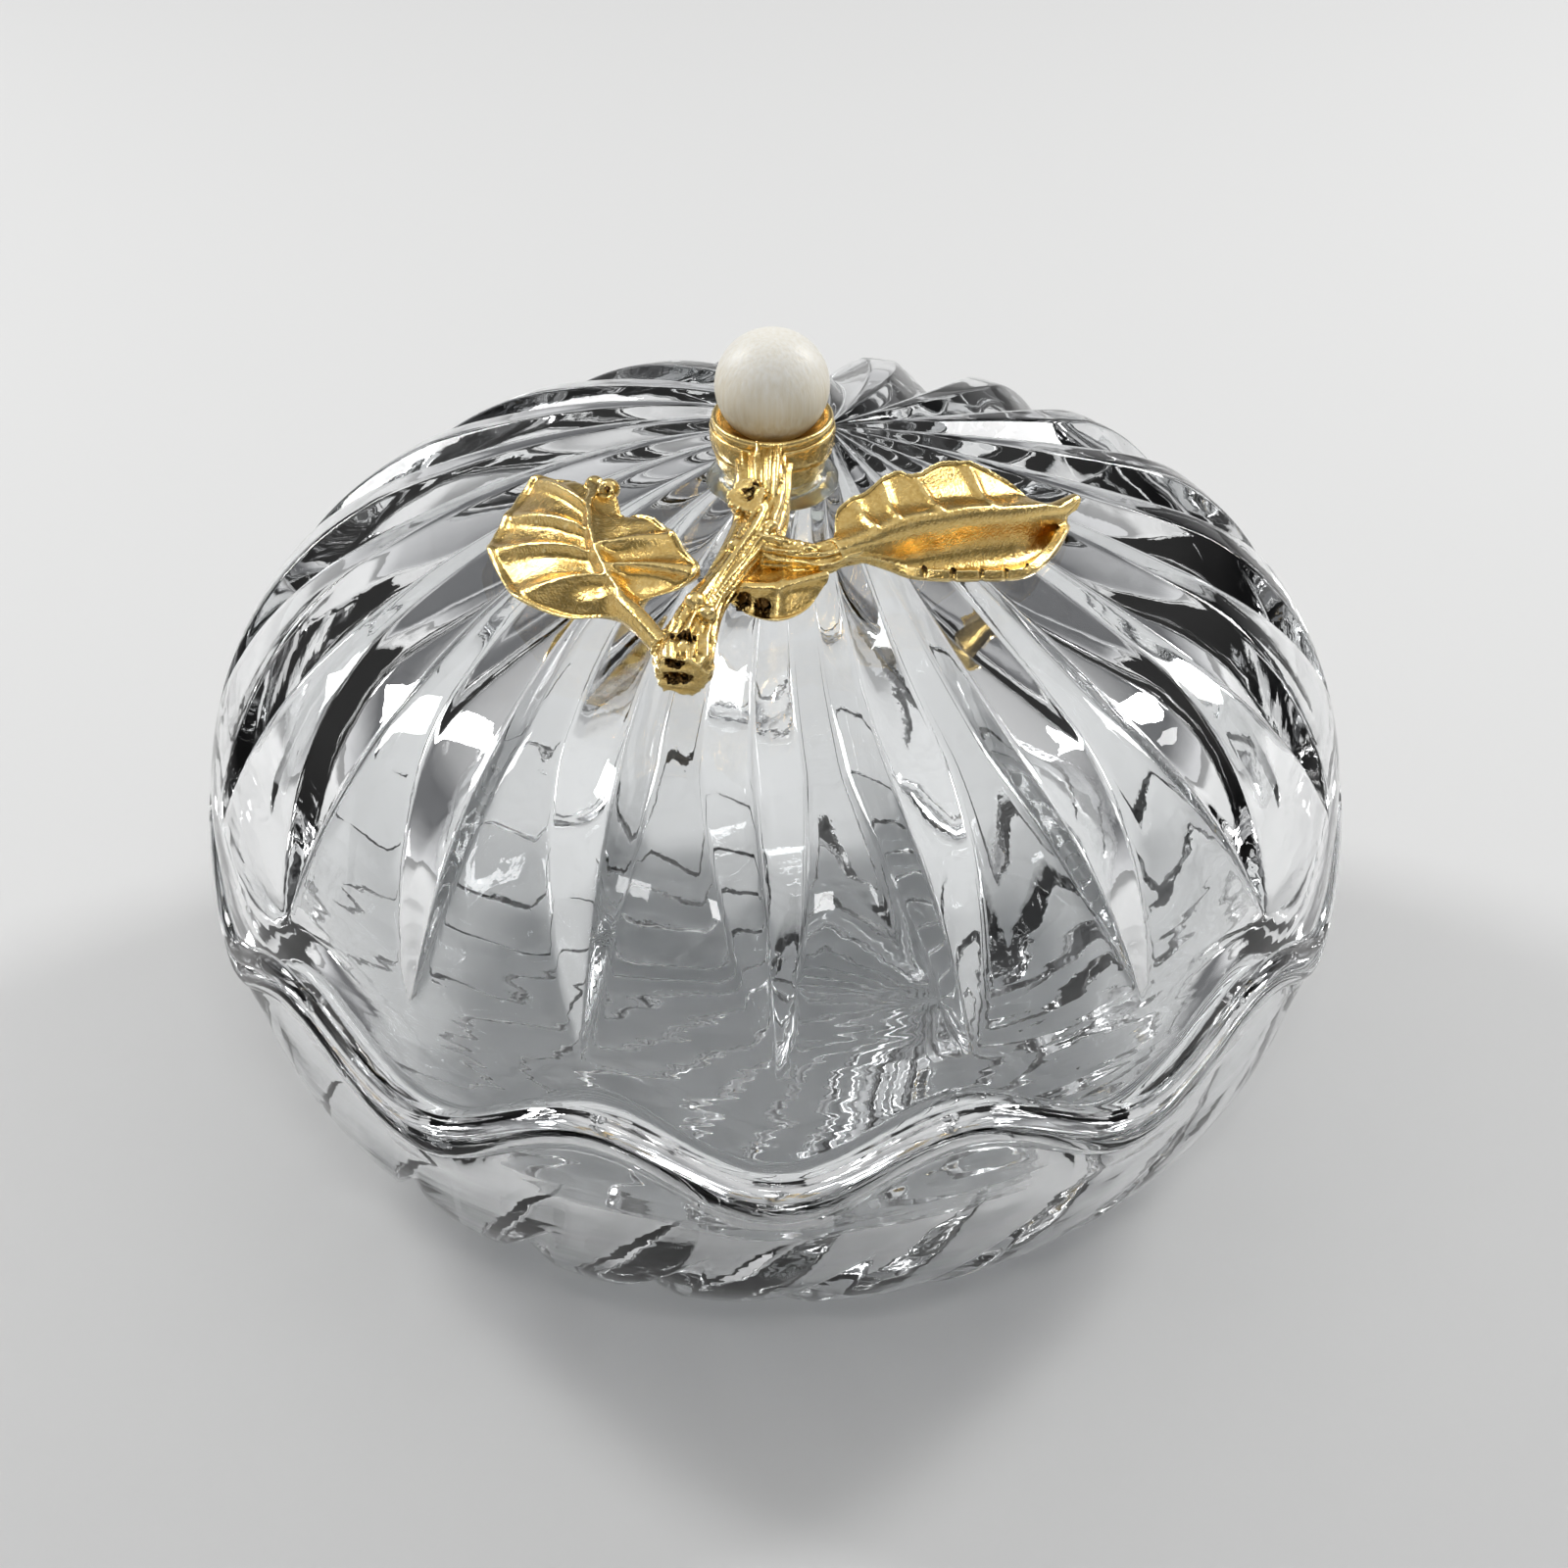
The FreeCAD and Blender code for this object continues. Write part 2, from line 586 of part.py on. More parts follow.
def leaf(kind):
    reaches = (size(kind + "_base_reach"), size(kind + "_tip_reach"))
    bearings = (size(kind + "_base_bearing"), size(kind + "_tip_bearing"))
    base = place(reaches[0], bearings[0], 0)
    tip = place(reaches[1], bearings[1], 0)
    outerSide = Vector(tip.y - base.y, base.x - tip.x, 0).normalize()
    if outerSide.dot(base + tip) < 0:
        outerSide = -outerSide
    drop = Vector(0, 0, size("leaf_thickness"))
    lift = size(kind + "_lift")
    sections = []
    ribPoints = []
    ribRadii = []
    shares = zip(leafStationShares[kind], leafOuterShares[kind], leafInnerShares[kind])
    for share, outerShare, innerShare in shares:
        spine = blend(base, tip, share)
        outer = spine + outerSide * size(kind + "_outer_width") * outerShare
        inner = spine - outerSide * size(kind + "_inner_width") * innerShare
        outerLift = blend(lift, size(kind + "_outer_lift"), outerShare)
        innerLift = blend(lift, size(kind + "_inner_lift"), innerShare)
        spots = []
        for spot, rise in ((spine, lift), (outer, outerLift), (inner, innerLift)):
            spots.append(domeFrame(spot.x, spot.y)[0] + Vector(0, 0, rise))
        sections.append(leafSection(*spots, drop))
        ribPoints.append(spots[0])
        ribRadii.append(size(kind + "_rib_radius") * blend(1, ribTipShare, share))
    return Part.makeLoft(sections, True, True).fuse(stick(ribPoints, ribRadii))


def addLeaf(kind):
    piece = doc.addObject("Part::Feature", kind)
    piece.Shape = leaf(kind).cut(twig.Shape)
    return piece


leaves = [addLeaf(kind) for kind in ("left_leaf", "right_leaf", "bud")]
doc.recompute()


# Check every object, then write one file for each piece

pieces = [bowl, lid, cup, cement, pearl, peg, twig] + leaves
for item in doc.Objects:
    if "Invalid" in item.State or "Error" in item.State:
        raise RuntimeError(f"{item.Label} failed to recompute")
for piece in pieces:
    if piece.Shape.isNull() or not piece.Shape.isValid():
        raise RuntimeError(f"{piece.Label} has no valid shape")

os.makedirs("parts", exist_ok=True)
for piece in pieces:
    piece.Shape.exportStep(f"parts/{piece.Label}.step")
    print(piece.Label, len(piece.Shape.Solids), round(piece.Shape.Volume, 1))
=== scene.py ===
import math
import bpy
import bmesh
from mathutils import Matrix, Vector, noise


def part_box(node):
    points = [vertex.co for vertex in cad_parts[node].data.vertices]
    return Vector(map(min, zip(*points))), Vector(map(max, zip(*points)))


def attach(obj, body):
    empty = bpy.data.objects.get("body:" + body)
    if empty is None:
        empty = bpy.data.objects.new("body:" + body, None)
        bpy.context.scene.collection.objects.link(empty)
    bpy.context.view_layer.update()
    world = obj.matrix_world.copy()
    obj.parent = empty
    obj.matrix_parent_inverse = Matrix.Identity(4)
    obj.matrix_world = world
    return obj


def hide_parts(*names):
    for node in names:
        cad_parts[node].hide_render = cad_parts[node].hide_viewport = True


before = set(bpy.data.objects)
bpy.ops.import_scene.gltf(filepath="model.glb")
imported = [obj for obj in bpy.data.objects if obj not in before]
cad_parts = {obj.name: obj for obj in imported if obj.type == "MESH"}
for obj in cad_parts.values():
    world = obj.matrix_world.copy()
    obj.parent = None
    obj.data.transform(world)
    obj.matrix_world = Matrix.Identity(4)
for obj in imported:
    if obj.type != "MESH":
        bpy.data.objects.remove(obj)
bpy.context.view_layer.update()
mm = 0.001
print("frame loaded:", ", ".join(sorted(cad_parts)))


# Small tools used by all pieces

def newPiece(name, points, faces, material=None):
    mesh = bpy.data.meshes.new(name)
    mesh.from_pydata(points, [], faces)
    mesh.update()
    piece = bpy.data.objects.new(name, mesh)
    bpy.context.scene.collection.objects.link(piece)
    if material:
        mesh.materials.append(material)
    return piece


def gridFaces(rows, columns, wrap=False):  # quads of a grid of points stored row by row
    around = columns if wrap else columns - 1
    faces = []
    for row in range(rows - 1):
        for column in range(around):
            beside = (column + 1) % columns
            faces.append((row * columns + column, row * columns + beside,
                          (row + 1) * columns + beside, (row + 1) * columns + column))
    return faces


def tidyMesh(piece, weld):  # weld poles and seams, then turn every face outwards
    shell = bmesh.new()
    shell.from_mesh(piece.data)
    bmesh.ops.remove_doubles(shell, verts=shell.verts, dist=weld)
    bmesh.ops.dissolve_degenerate(shell, edges=shell.edges, dist=weld / 10)
    bmesh.ops.recalc_face_normals(shell, faces=shell.faces)
    for face in shell.faces:
        face.smooth = True
    shell.to_mesh(piece.data)
    shell.free()
    return piece


def bakeModifiers(piece):  # turn the evaluated shape into a plain mesh
    graph = bpy.context.evaluated_depsgraph_get()
    graph.update()
    mesh = bpy.data.meshes.new_from_object(piece.evaluated_get(graph), depsgraph=graph)
    piece.modifiers.clear()
    piece.data = mesh
    mesh.name = piece.name
    return piece


def seatPiece(piece, body, slot, *nodes):
    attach(piece, body)
    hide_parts(*nodes)
    triangles = sum(len(face.vertices) - 2 for face in piece.data.polygons)
    print(f"{piece.name}: {triangles} triangles on {body}")


def smoothLine(places, steps):  # a smooth line through a few given places, in millimetres
    knots = [Vector(place) * mm for place in places]
    knots = [2 * knots[0] - knots[1]] + knots + [2 * knots[-1] - knots[-2]]
    spans = len(knots) - 3
    line = []
    for step in range(steps + 1):
        run = spans * step / steps
        span = min(int(run), spans - 1)
        t = run - span
        a, b, c, d = knots[span:span + 4]
        line.append(0.5 * (2 * b + (c - a) * t + (2 * a - 5 * b + 4 * c - d) * t ** 2
                           + (3 * b - a - 3 * c + d) * t ** 3))
    return line


def lerp(first, last, share):
    return first + (last - first) * share


def smoothStep(low, high, value):
    share = min(1, max(0, (value - low) / (high - low)))
    return share * share * (3 - 2 * share)


def hump(offset, width):
    return math.exp(-(offset / width) ** 2)


def ringNoise(turn, spread, along):  # noise that closes on itself round a tube
    return noise.noise(Vector((spread * math.cos(turn), spread * math.sin(turn), along)))


# Materials

def newMaterial(name):
    material = bpy.data.materials.new(name)
    material.use_nodes = True
    nodes = material.node_tree.nodes
    return material, nodes, material.node_tree.links, nodes["Principled BSDF"]


def objectNoise(nodes, links, scale, detail, stretch=(1, 1, 1)):
    place = nodes.new("ShaderNodeTexCoord")
    mapping = nodes.new("ShaderNodeMapping")
    mapping.inputs["Scale"].default_value = stretch
    texture = nodes.new("ShaderNodeTexNoise")
    texture.inputs["Scale"].default_value = scale
    texture.inputs["Detail"].default_value = detail
    links.new(place.outputs["Object"], mapping.inputs["Vector"])
    links.new(mapping.outputs["Vector"], texture.inputs["Vector"])
    return texture.outputs["Fac"]


def mapRange(nodes, links, value, low, high, fromLow=0.3, fromHigh=0.7):
    node = nodes.new("ShaderNodeMapRange")
    node.inputs["From Min"].default_value = fromLow
    node.inputs["From Max"].default_value = fromHigh
    node.inputs["To Min"].default_value = low
    node.inputs["To Max"].default_value = high
    links.new(value, node.inputs["Value"])
    return node.outputs["Result"]


def addBump(nodes, links, height, distance, strength, under=None):
    bump = nodes.new("ShaderNodeBump")
    bump.inputs["Strength"].default_value = strength
    bump.inputs["Distance"].default_value = distance
    links.new(height, bump.inputs["Height"])
    if under:
        links.new(under, bump.inputs["Normal"])
    return bump.outputs["Normal"]


def colourRamp(nodes, links, value, stops):
    ramp = nodes.new("ShaderNodeValToRGB")
    ramp.color_ramp.elements[0].position, ramp.color_ramp.elements[0].color = stops[0]
    ramp.color_ramp.elements[1].position, ramp.color_ramp.elements[1].color = stops[-1]
    for place, colour in stops[1:-1]:
        ramp.color_ramp.elements.new(place).color = colour
    links.new(value, ramp.inputs["Fac"])
    return ramp.outputs["Color"]


def objectHeight(nodes, links):
    place = nodes.new("ShaderNodeTexCoord")
    height = nodes.new("ShaderNodeSeparateXYZ")
    links.new(place.outputs["Object"], height.inputs[0])
    return height.outputs["Z"]


def mathNode(nodes, links, operation, *values):
    node = nodes.new("ShaderNodeMath")
    node.operation = operation
    for slot, value in zip(node.inputs, values):
        if isinstance(value, float):
            slot.default_value = value
        else:
            links.new(value, slot)
    return node.outputs[0]


crystal = dict(
    tint=(0.975, 0.985, 0.99, 1), ior=1.53, shade=(0.2, 0.21, 0.22, 1),
    smudgeScale=60, smudgeFade=(0.45, 0.75), smudgeRoughness=0.035,
    chillScale=150, chillStretch=(0.3, 0.3, 2.4), chillFade=(0.044, 0.062), chillLeast=0.12,
    chillBump=(0.0009, 0.09),
    beltScale=56, beltStretch=(0.4, 0.4, 2.6), beltBump=(0.0025, 0.12),
    broadScale=110, broadBump=(0.0006, 0.07), fineScale=520, fineBump=(0.0002, 0.03),
)


def crystalGlass(settings):
    material, nodes, links, shader = newMaterial("cutCrystal")
    shader.inputs["Base Color"].default_value = settings["tint"]
    shader.inputs["Transmission Weight"].default_value = 1.0
    shader.inputs["IOR"].default_value = settings["ior"]
    smudge = objectNoise(nodes, links, settings["smudgeScale"], 4)
    roughness = mapRange(nodes, links, smudge, 0.0, settings["smudgeRoughness"], *settings["smudgeFade"])
    links.new(roughness, shader.inputs["Roughness"])
    height = objectHeight(nodes, links)
    low = mapRange(nodes, links, height, 1.0, settings["chillLeast"], *settings["chillFade"])
    chill = objectNoise(nodes, links, settings["chillScale"], 2, settings["chillStretch"])
    chill = mathNode(nodes, links, "MULTIPLY", chill, low)  # chill marks of the mould run round the wall
    belt = objectNoise(nodes, links, settings["beltScale"], 1, settings["beltStretch"])
    broad = objectNoise(nodes, links, settings["broadScale"], 2)
    fine = objectNoise(nodes, links, settings["fineScale"], 3)
    normal = addBump(nodes, links, chill, *settings["chillBump"])
    normal = addBump(nodes, links, belt, *settings["beltBump"], normal)
    normal = addBump(nodes, links, broad, *settings["broadBump"], normal)
    normal = addBump(nodes, links, fine, *settings["fineBump"], normal)
    links.new(normal, shader.inputs["Normal"])
    path = nodes.new("ShaderNodeLightPath")  # lamps shine through the walls
    clear = nodes.new("ShaderNodeBsdfTransparent")
    clear.inputs["Color"].default_value = settings["shade"]
    mix = nodes.new("ShaderNodeMixShader")
    links.new(path.outputs["Is Shadow Ray"], mix.inputs[0])
    links.new(shader.outputs["BSDF"], mix.inputs[1])
    links.new(clear.outputs["BSDF"], mix.inputs[2])
    links.new(mix.outputs["Shader"], nodes["Material Output"].inputs["Surface"])
    return material


gilt = dict(
    # the darkest colour is painted shade for the hollows, the lightest a painted highlight for the ridges
    paintedHollowShade=(0.1, 0.055, 0.018, 1), mid=(0.74, 0.5, 0.16, 1), paintedRidgeHighlight=(1.0, 0.78, 0.35, 1),
    shadeAndHighlightStops=(0.455, 0.525, 0.575), speckleScale=2400, speckleShare=0.07,
    wearScale=700, wearRoughness=(0.1, 0.3), castScale=420, castBump=(0.0005, 0.2),
    grainScale=3600, grainBump=(0.00012, 0.5),
)


def giltMetal(settings):
    material, nodes, links, shader = newMaterial("polishedGilt")
    shader.inputs["Metallic"].default_value = 1.0
    # colour follows pointiness: painted shade in the hollows, plain gilt in between, painted highlight on the
    # ridges, with a little random speckle
    relief = nodes.new("ShaderNodeNewGeometry").outputs["Pointiness"]
    speckle = objectNoise(nodes, links, settings["speckleScale"], 4)
    relief = mathNode(nodes, links, "MULTIPLY_ADD", speckle, settings["speckleShare"], relief)
    shades = [settings[name] for name in ("paintedHollowShade", "mid", "paintedRidgeHighlight")]
    colour = colourRamp(nodes, links, relief, list(zip(settings["shadeAndHighlightStops"], shades)))
    links.new(colour, shader.inputs["Base Color"])
    wear = objectNoise(nodes, links, settings["wearScale"], 4)
    links.new(mapRange(nodes, links, wear, *settings["wearRoughness"]), shader.inputs["Roughness"])
    cast = objectNoise(nodes, links, settings["castScale"], 3)
    grain = objectNoise(nodes, links, settings["grainScale"], 5)
    normal = addBump(nodes, links, cast, *settings["castBump"])
    normal = addBump(nodes, links, grain, *settings["grainBump"], normal)
    links.new(normal, shader.inputs["Normal"])
    return material


pearlCoat = dict(
    # the warm colour is a painted reflection of the gold cup below the pearl
    paintedGoldReflection=(0.6, 0.46, 0.22, 1), cream=(0.78, 0.71, 0.55, 1), white=(0.93, 0.91, 0.84, 1),
    hairAndReflectionStops=(0.15, 0.55, 0.95), goldReflectionHeights=(0.0872, 0.0955), pastReflectionShare=0.6,
    hairShare=0.55, hairScale=2300, hairStretch=(1, 1, 0.04), hairRoughness=(0.36, 0.58),
    hairBump=(0.00012, 0.6),
    coat=0.2, coatRoughness=0.35, sheen=0.15, sheenRoughness=0.4,
)


def pearlLustre(settings):
    material, nodes, links, shader = newMaterial("pearlLustre")
    hairlines = objectNoise(nodes, links, settings["hairScale"], 3, settings["hairStretch"])
    height = objectHeight(nodes, links)
    # painted reflection of the gold cup: warmer and darker towards the bottom of the pearl, fading out higher up
    pastGoldReflection = mapRange(nodes, links, height, 0.0, settings["pastReflectionShare"], *settings["goldReflectionHeights"])
    hairAndReflection = mathNode(nodes, links, "MULTIPLY_ADD", hairlines, settings["hairShare"], pastGoldReflection)
    shades = [settings[name] for name in ("paintedGoldReflection", "cream", "white")]
    colour = colourRamp(nodes, links, hairAndReflection, list(zip(settings["hairAndReflectionStops"], shades)))
    links.new(colour, shader.inputs["Base Color"])
    links.new(mapRange(nodes, links, hairlines, *settings["hairRoughness"]), shader.inputs["Roughness"])
    shader.inputs["Coat Weight"].default_value = settings["coat"]
    shader.inputs["Coat Roughness"].default_value = settings["coatRoughness"]
    shader.inputs["Sheen Weight"].default_value = settings["sheen"]
    shader.inputs["Sheen Roughness"].default_value = settings["sheenRoughness"]
    links.new(addBump(nodes, links, hairlines, *settings["hairBump"]), shader.inputs["Normal"])
    return material


cementLook = dict(tint=(0.8, 0.84, 0.8, 1), transmission=0.95, ior=1.45,
                  cloudScale=500, cloudRoughness=(0.05, 0.25), cloudBump=(0.0003, 0.3))


def clearCement(settings):
    material, nodes, links, shader = newMaterial("curedCement")
    shader.inputs["Base Color"].default_value = settings["tint"]
    shader.inputs["Transmission Weight"].default_value = settings["transmission"]
    shader.inputs["IOR"].default_value = settings["ior"]
    cloud = objectNoise(nodes, links, settings["cloudScale"], 3)
    links.new(mapRange(nodes, links, cloud, *settings["cloudRoughness"]), shader.inputs["Roughness"])
    links.new(addBump(nodes, links, cloud, *settings["cloudBump"]), shader.inputs["Normal"])
    return material


glassMaterial = crystalGlass(crystal)
giltMaterial = giltMetal(gilt)
pearlMaterial = pearlLustre(pearlCoat)
cementMaterial = clearCement(cementLook)
print("materials ready")


# Outline shared by both glass halves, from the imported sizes

outline = dict(
    girthRadius=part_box("lid")[1].x, crownHeight=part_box("lid")[1].z, girthHeight=43.6 * mm, shoulderShare=0.82,
    sideRadius=80 * mm, wall=8 * mm, bellyStart=26 * mm, footGrind=1.3 * mm,
    seamHeight=36 * mm, seamGap=0.35 * mm, beadHeight=2.5 * mm, beadProud=0.95 * mm, beadNeck=0.25 * mm,
    beadFoot=1.12, beadSteps=8, waveCount=10, waveHeight=3.5 * mm, waveCrest=math.radians(-72),
    waveFade=11 * mm,
)


def domeSizes(shape):
    rise = shape["crownHeight"] - shape["girthHeight"]
    shoulder = rise * shape["shoulderShare"]
    centre = shape["girthRadius"] - shoulder
    crown = (centre ** 2 + rise ** 2 - shoulder ** 2) / (2 * (rise - shoulder))
    crownCentre = shape["crownHeight"] - crown
    lean = math.atan2(centre, shape["girthHeight"] - crownCentre)
    return dict(shoulder=shoulder, shoulderCentre=centre, crown=crown, crownCentre=crownCentre,
                crownLean=lean, crownEdge=crown * math.sin(lean), crownRun=crown * lean)


dome = domeSizes(outline)


def domeLevel(reach):  # height of the uncut dome at a reach from the middle
    if reach < dome["crownEdge"]:
        return dome["crownCentre"] + math.sqrt(dome["crown"] ** 2 - reach ** 2)
    past = reach - dome["shoulderCentre"]
    return outline["girthHeight"] + math.sqrt(max(0, dome["shoulder"] ** 2 - past ** 2))


def waveShareAt(level):  # the wave dies out above and below the seam
    return 1 - smoothStep(outline["beadHeight"], outline["waveFade"], abs(level - outline["seamHeight"]))


def profileRow(reach, level, lean=0.0, depth=0.0, valley=0.0, drift=0.0, wave=None, slopes=None):
    if wave is None:
        wave = waveShareAt(level)
    return dict(reach=reach, level=level, lean=lean, depth=depth, valley=valley, drift=drift, wave=wave,
                slopes=slopes)


def arcRows(centre, radius, start, end, steps):  # rows along an arc of the profile, angles from +X
    rows = []
    for step in range(steps + 1):
        angle = lerp(start, end, step / steps)
        reach = centre[0] + radius * math.cos(angle)
        rows.append(profileRow(reach, centre[1] + radius * math.sin(angle)))
    return rows


sideCentre = (outline["girthRadius"] - outline["sideRadius"], outline["girthHeight"])


def sideAngle(level, radius):  # angle on the barrel side at a height
    return math.asin((level - sideCentre[1]) / radius)


def beadRows(rim, up):  # rounded lip that stands proud of the wall beside the seam
    half = outline["beadHeight"] / 2
    middle = rim + up * half
    reach = sideCentre[0] + outline["sideRadius"] * math.cos(sideAngle(middle, outline["sideRadius"]))
    proud = outline["beadProud"] + outline["beadNeck"]
    rows = [profileRow(reach - outline["beadNeck"], middle + up * half * outline["beadFoot"], wave=1)]
    for step in range(outline["beadSteps"] + 1):
        angle = math.pi * (0.5 - step / outline["beadSteps"]) * up
        rows.append(profileRow(reach - outline["beadNeck"] + proud * math.cos(angle),
                               middle + half * math.sin(angle), wave=1))
    return rows


# Cut-glass sectors: one flute or petal wide, with a mitre groove down the middle

grooveShares = (0.03, 0.1, 0.3, 0.55, 0.8, 0.93, 1.0)
landShares = (0.1, 0.4, 0.7, 1.0)


def sectorColumns(row, cut):  # distance of each column of a row from the groove's middle
    pitch = 2 * math.pi * row["reach"] / cut["copies"]
    least = cut["leastGroove"] * pitch
    most = cut["mostGroove"] * pitch
    left, right = (min(most, max(least, row["depth"] * slope)) for slope in row["slopes"] or cut["slopes"])
    land = (pitch - left - right) / 2
    across = [-left - land * share for share in reversed(landShares)]
    across += [-left * share for share in reversed(grooveShares)]
    across += [0.0]
    across += [right * share for share in grooveShares]
    across += [right + land * share for share in landShares]
    return across


def grooveDepth(row, across, cut):  # mitre section with slightly polished edges
    slope = (row["slopes"] or cut["slopes"])[0 if across < 0 else 1]
    polish = cut["polish"]
    soft = math.sqrt(across ** 2 + polish ** 2) - polish
    rest = row["depth"] - soft / slope
    edge = polish * min(1, row["depth"] / (4 * polish))
    spill = edge * edge / (4 * max(row["depth"], edge, 1e-9))
    return max(0, (rest + math.sqrt(rest ** 2 + edge ** 2)) / 2 - spill)


def sectorPiece(name, rows, cut):
    points = []
    drift = []
    wave = []
    for row in rows:
        for across in sectorColumns(row, cut):
            sink = grooveDepth(row, across, cut) if row["depth"] > 0 else 0
            bearing = row["valley"] + (across / row["reach"] if row["reach"] > 1e-9 else 0)
            reach = row["reach"] - sink * math.sin(row["lean"])
            points.append((reach * math.cos(bearing), reach * math.sin(bearing),
                           row["level"] - sink * math.cos(row["lean"])))
            drift.append(row["drift"])
            wave.append(row["wave"])
    columns = 2 * (len(grooveShares) + len(landShares)) + 1
    piece = newPiece(name, points, gridFaces(len(rows), columns))
    for label, values in (("drift", drift), ("waveShare", wave)):
        piece.data.attributes.new(label, "FLOAT", "POINT").data.foreach_set("value", values)
    return piece


# Geometry Nodes rule: turn the sector round the axis, lean the star off the middle and wave the rim

class Formula:  # a number in a node tree: sums and products of these add Math nodes
    def __init__(self, tree, socket):
        self.tree = tree
        self.socket = socket

    def math(self, operation, *others):
        node = self.tree.nodes.new("ShaderNodeMath")
        node.operation = operation
        for slot, value in zip(node.inputs, (self,) + others):
            if isinstance(value, Formula):
                self.tree.links.new(value.socket, slot)
            else:
                slot.default_value = value
        return Formula(self.tree, node.outputs[0])

    def __add__(self, other):
        return self.math("ADD", other)

    def __sub__(self, other):
        return self.math("SUBTRACT", other)

    def __mul__(self, other):
        return self.math("MULTIPLY", other)

    def __truediv__(self, other):
        return self.math("DIVIDE", other)


glassRuleSizes = ("Star Right", "Star Back", "Crown Radius", "Crown Centre", "Crown Edge", "Shoulder Radius",
                  "Shoulder Centre", "Girth Height", "Dome Share", "Wave Count", "Wave Height", "Wave Crest")


def glassRule():
    tree = bpy.data.node_groups.new("cutGlassRule", "GeometryNodeTree")
    tree.interface.new_socket("Sector", in_out="INPUT", socket_type="NodeSocketGeometry")
    tree.interface.new_socket("Copies", in_out="INPUT", socket_type="NodeSocketInt")
    tree.interface.new_socket("First Bearing", in_out="INPUT", socket_type="NodeSocketFloat")
    for label in glassRuleSizes:
        tree.interface.new_socket(label, in_out="INPUT", socket_type="NodeSocketFloat")
    tree.interface.new_socket("Glass", in_out="INPUT", socket_type="NodeSocketMaterial")
    tree.interface.new_socket("Piece", in_out="OUTPUT", socket_type="NodeSocketGeometry")
    inlet = tree.nodes.new("NodeGroupInput")
    outlet = tree.nodes.new("NodeGroupOutput")

    def add(kind):
        return tree.nodes.new(kind)

    def given(label):
        return Formula(tree, inlet.outputs[label])

    def stored(label):
        node = add("GeometryNodeInputNamedAttribute")
        node.data_type = "FLOAT"
        node.inputs["Name"].default_value = label
        return Formula(tree, node.outputs["Attribute"])

    spots = add("GeometryNodePoints")
    tree.links.new(inlet.outputs["Copies"], spots.inputs["Count"])
    turn = Formula(tree, add("GeometryNodeInputIndex").outputs[0]) / given("Copies") * (2 * math.pi)
    axis = add("ShaderNodeCombineXYZ")
    tree.links.new((turn + given("First Bearing")).socket, axis.inputs["Z"])
    rotation = add("FunctionNodeEulerToRotation")
    tree.links.new(axis.outputs[0], rotation.inputs[0])
    copies = add("GeometryNodeInstanceOnPoints")
    tree.links.new(spots.outputs[0], copies.inputs["Points"])
    tree.links.new(inlet.outputs["Sector"], copies.inputs["Instance"])
    tree.links.new(rotation.outputs[0], copies.inputs["Rotation"])
    whole = add("GeometryNodeRealizeInstances")
    tree.links.new(copies.outputs[0], whole.inputs[0])
    weld = add("GeometryNodeMergeByDistance")
    weld.inputs["Distance"].default_value = 1e-6
    tree.links.new(whole.outputs[0], weld.inputs["Geometry"])

    place = add("ShaderNodeSeparateXYZ")
    tree.links.new(add("GeometryNodeInputPosition").outputs[0], place.inputs[0])
    x = Formula(tree, place.outputs["X"])
    y = Formula(tree, place.outputs["Y"])

    def domeHeight(reach):
        onCrown = reach.math("LESS_THAN", given("Crown Edge"))
        past = reach - given("Shoulder Centre")
        crownRadius = given("Crown Radius")
        shoulderRadius = given("Shoulder Radius")
        crown = (crownRadius * crownRadius - reach * reach).math("SQRT") + given("Crown Centre")
        side = (shoulderRadius * shoulderRadius - past * past).math("SQRT") + given("Girth Height")
        return side + (crown - side) * onCrown

    def reachOf(across, back):
        return (across * across + back * back).math("SQRT")

    right = stored("drift") * given("Star Right")
    back = stored("drift") * given("Star Back")
    fall = (domeHeight(reachOf(x + right, y + back)) - domeHeight(reachOf(x, y))) * given("Dome Share")
    bearing = y.math("ARCTAN2", x)
    swing = ((bearing - given("Wave Crest")) * given("Wave Count")).math("COSINE")
    lift = fall + stored("waveShare") * swing * given("Wave Height")
    offset = add("ShaderNodeCombineXYZ")
    for socket, value in zip(offset.inputs, (right, back, lift)):
        tree.links.new(value.socket, socket)
    moved = add("GeometryNodeSetPosition")
    tree.links.new(weld.outputs[0], moved.inputs["Geometry"])
    tree.links.new(offset.outputs[0], moved.inputs["Offset"])
    finish = add("GeometryNodeSetMaterial")
    tree.links.new(moved.outputs[0], finish.inputs["Geometry"])
    tree.links.new(inlet.outputs["Glass"], finish.inputs["Material"])
    tree.links.new(finish.outputs[0], outlet.inputs["Piece"])
    return tree


def turnSector(piece, tree, values):
    modifier = piece.modifiers.new("cutGlass", "NODES")
    modifier.node_group = tree
    identifiers = {item.name: item.identifier for item in tree.interface.items_tree if item.in_out == "INPUT"}
    for label, value in values.items():
        modifier[identifiers[label]] = value
    bakeModifiers(piece)
    return tidyMesh(piece, 5e-7)


def ruleValues(cut):
    return {
        "Copies": cut["copies"], "First Bearing": cut["firstBearing"],
        "Star Right": cut["starRight"], "Star Back": cut["starBack"],
        "Crown Radius": dome["crown"], "Crown Centre": dome["crownCentre"], "Crown Edge": dome["crownEdge"],
        "Shoulder Radius": dome["shoulder"], "Shoulder Centre": dome["shoulderCentre"],
        "Girth Height": outline["girthHeight"], "Dome Share": cut["domeShare"],
        "Wave Count": float(outline["waveCount"]), "Wave Height": outline["waveHeight"],
        "Wave Crest": outline["waveCrest"], "Glass": glassMaterial,
    }


# Lid glass

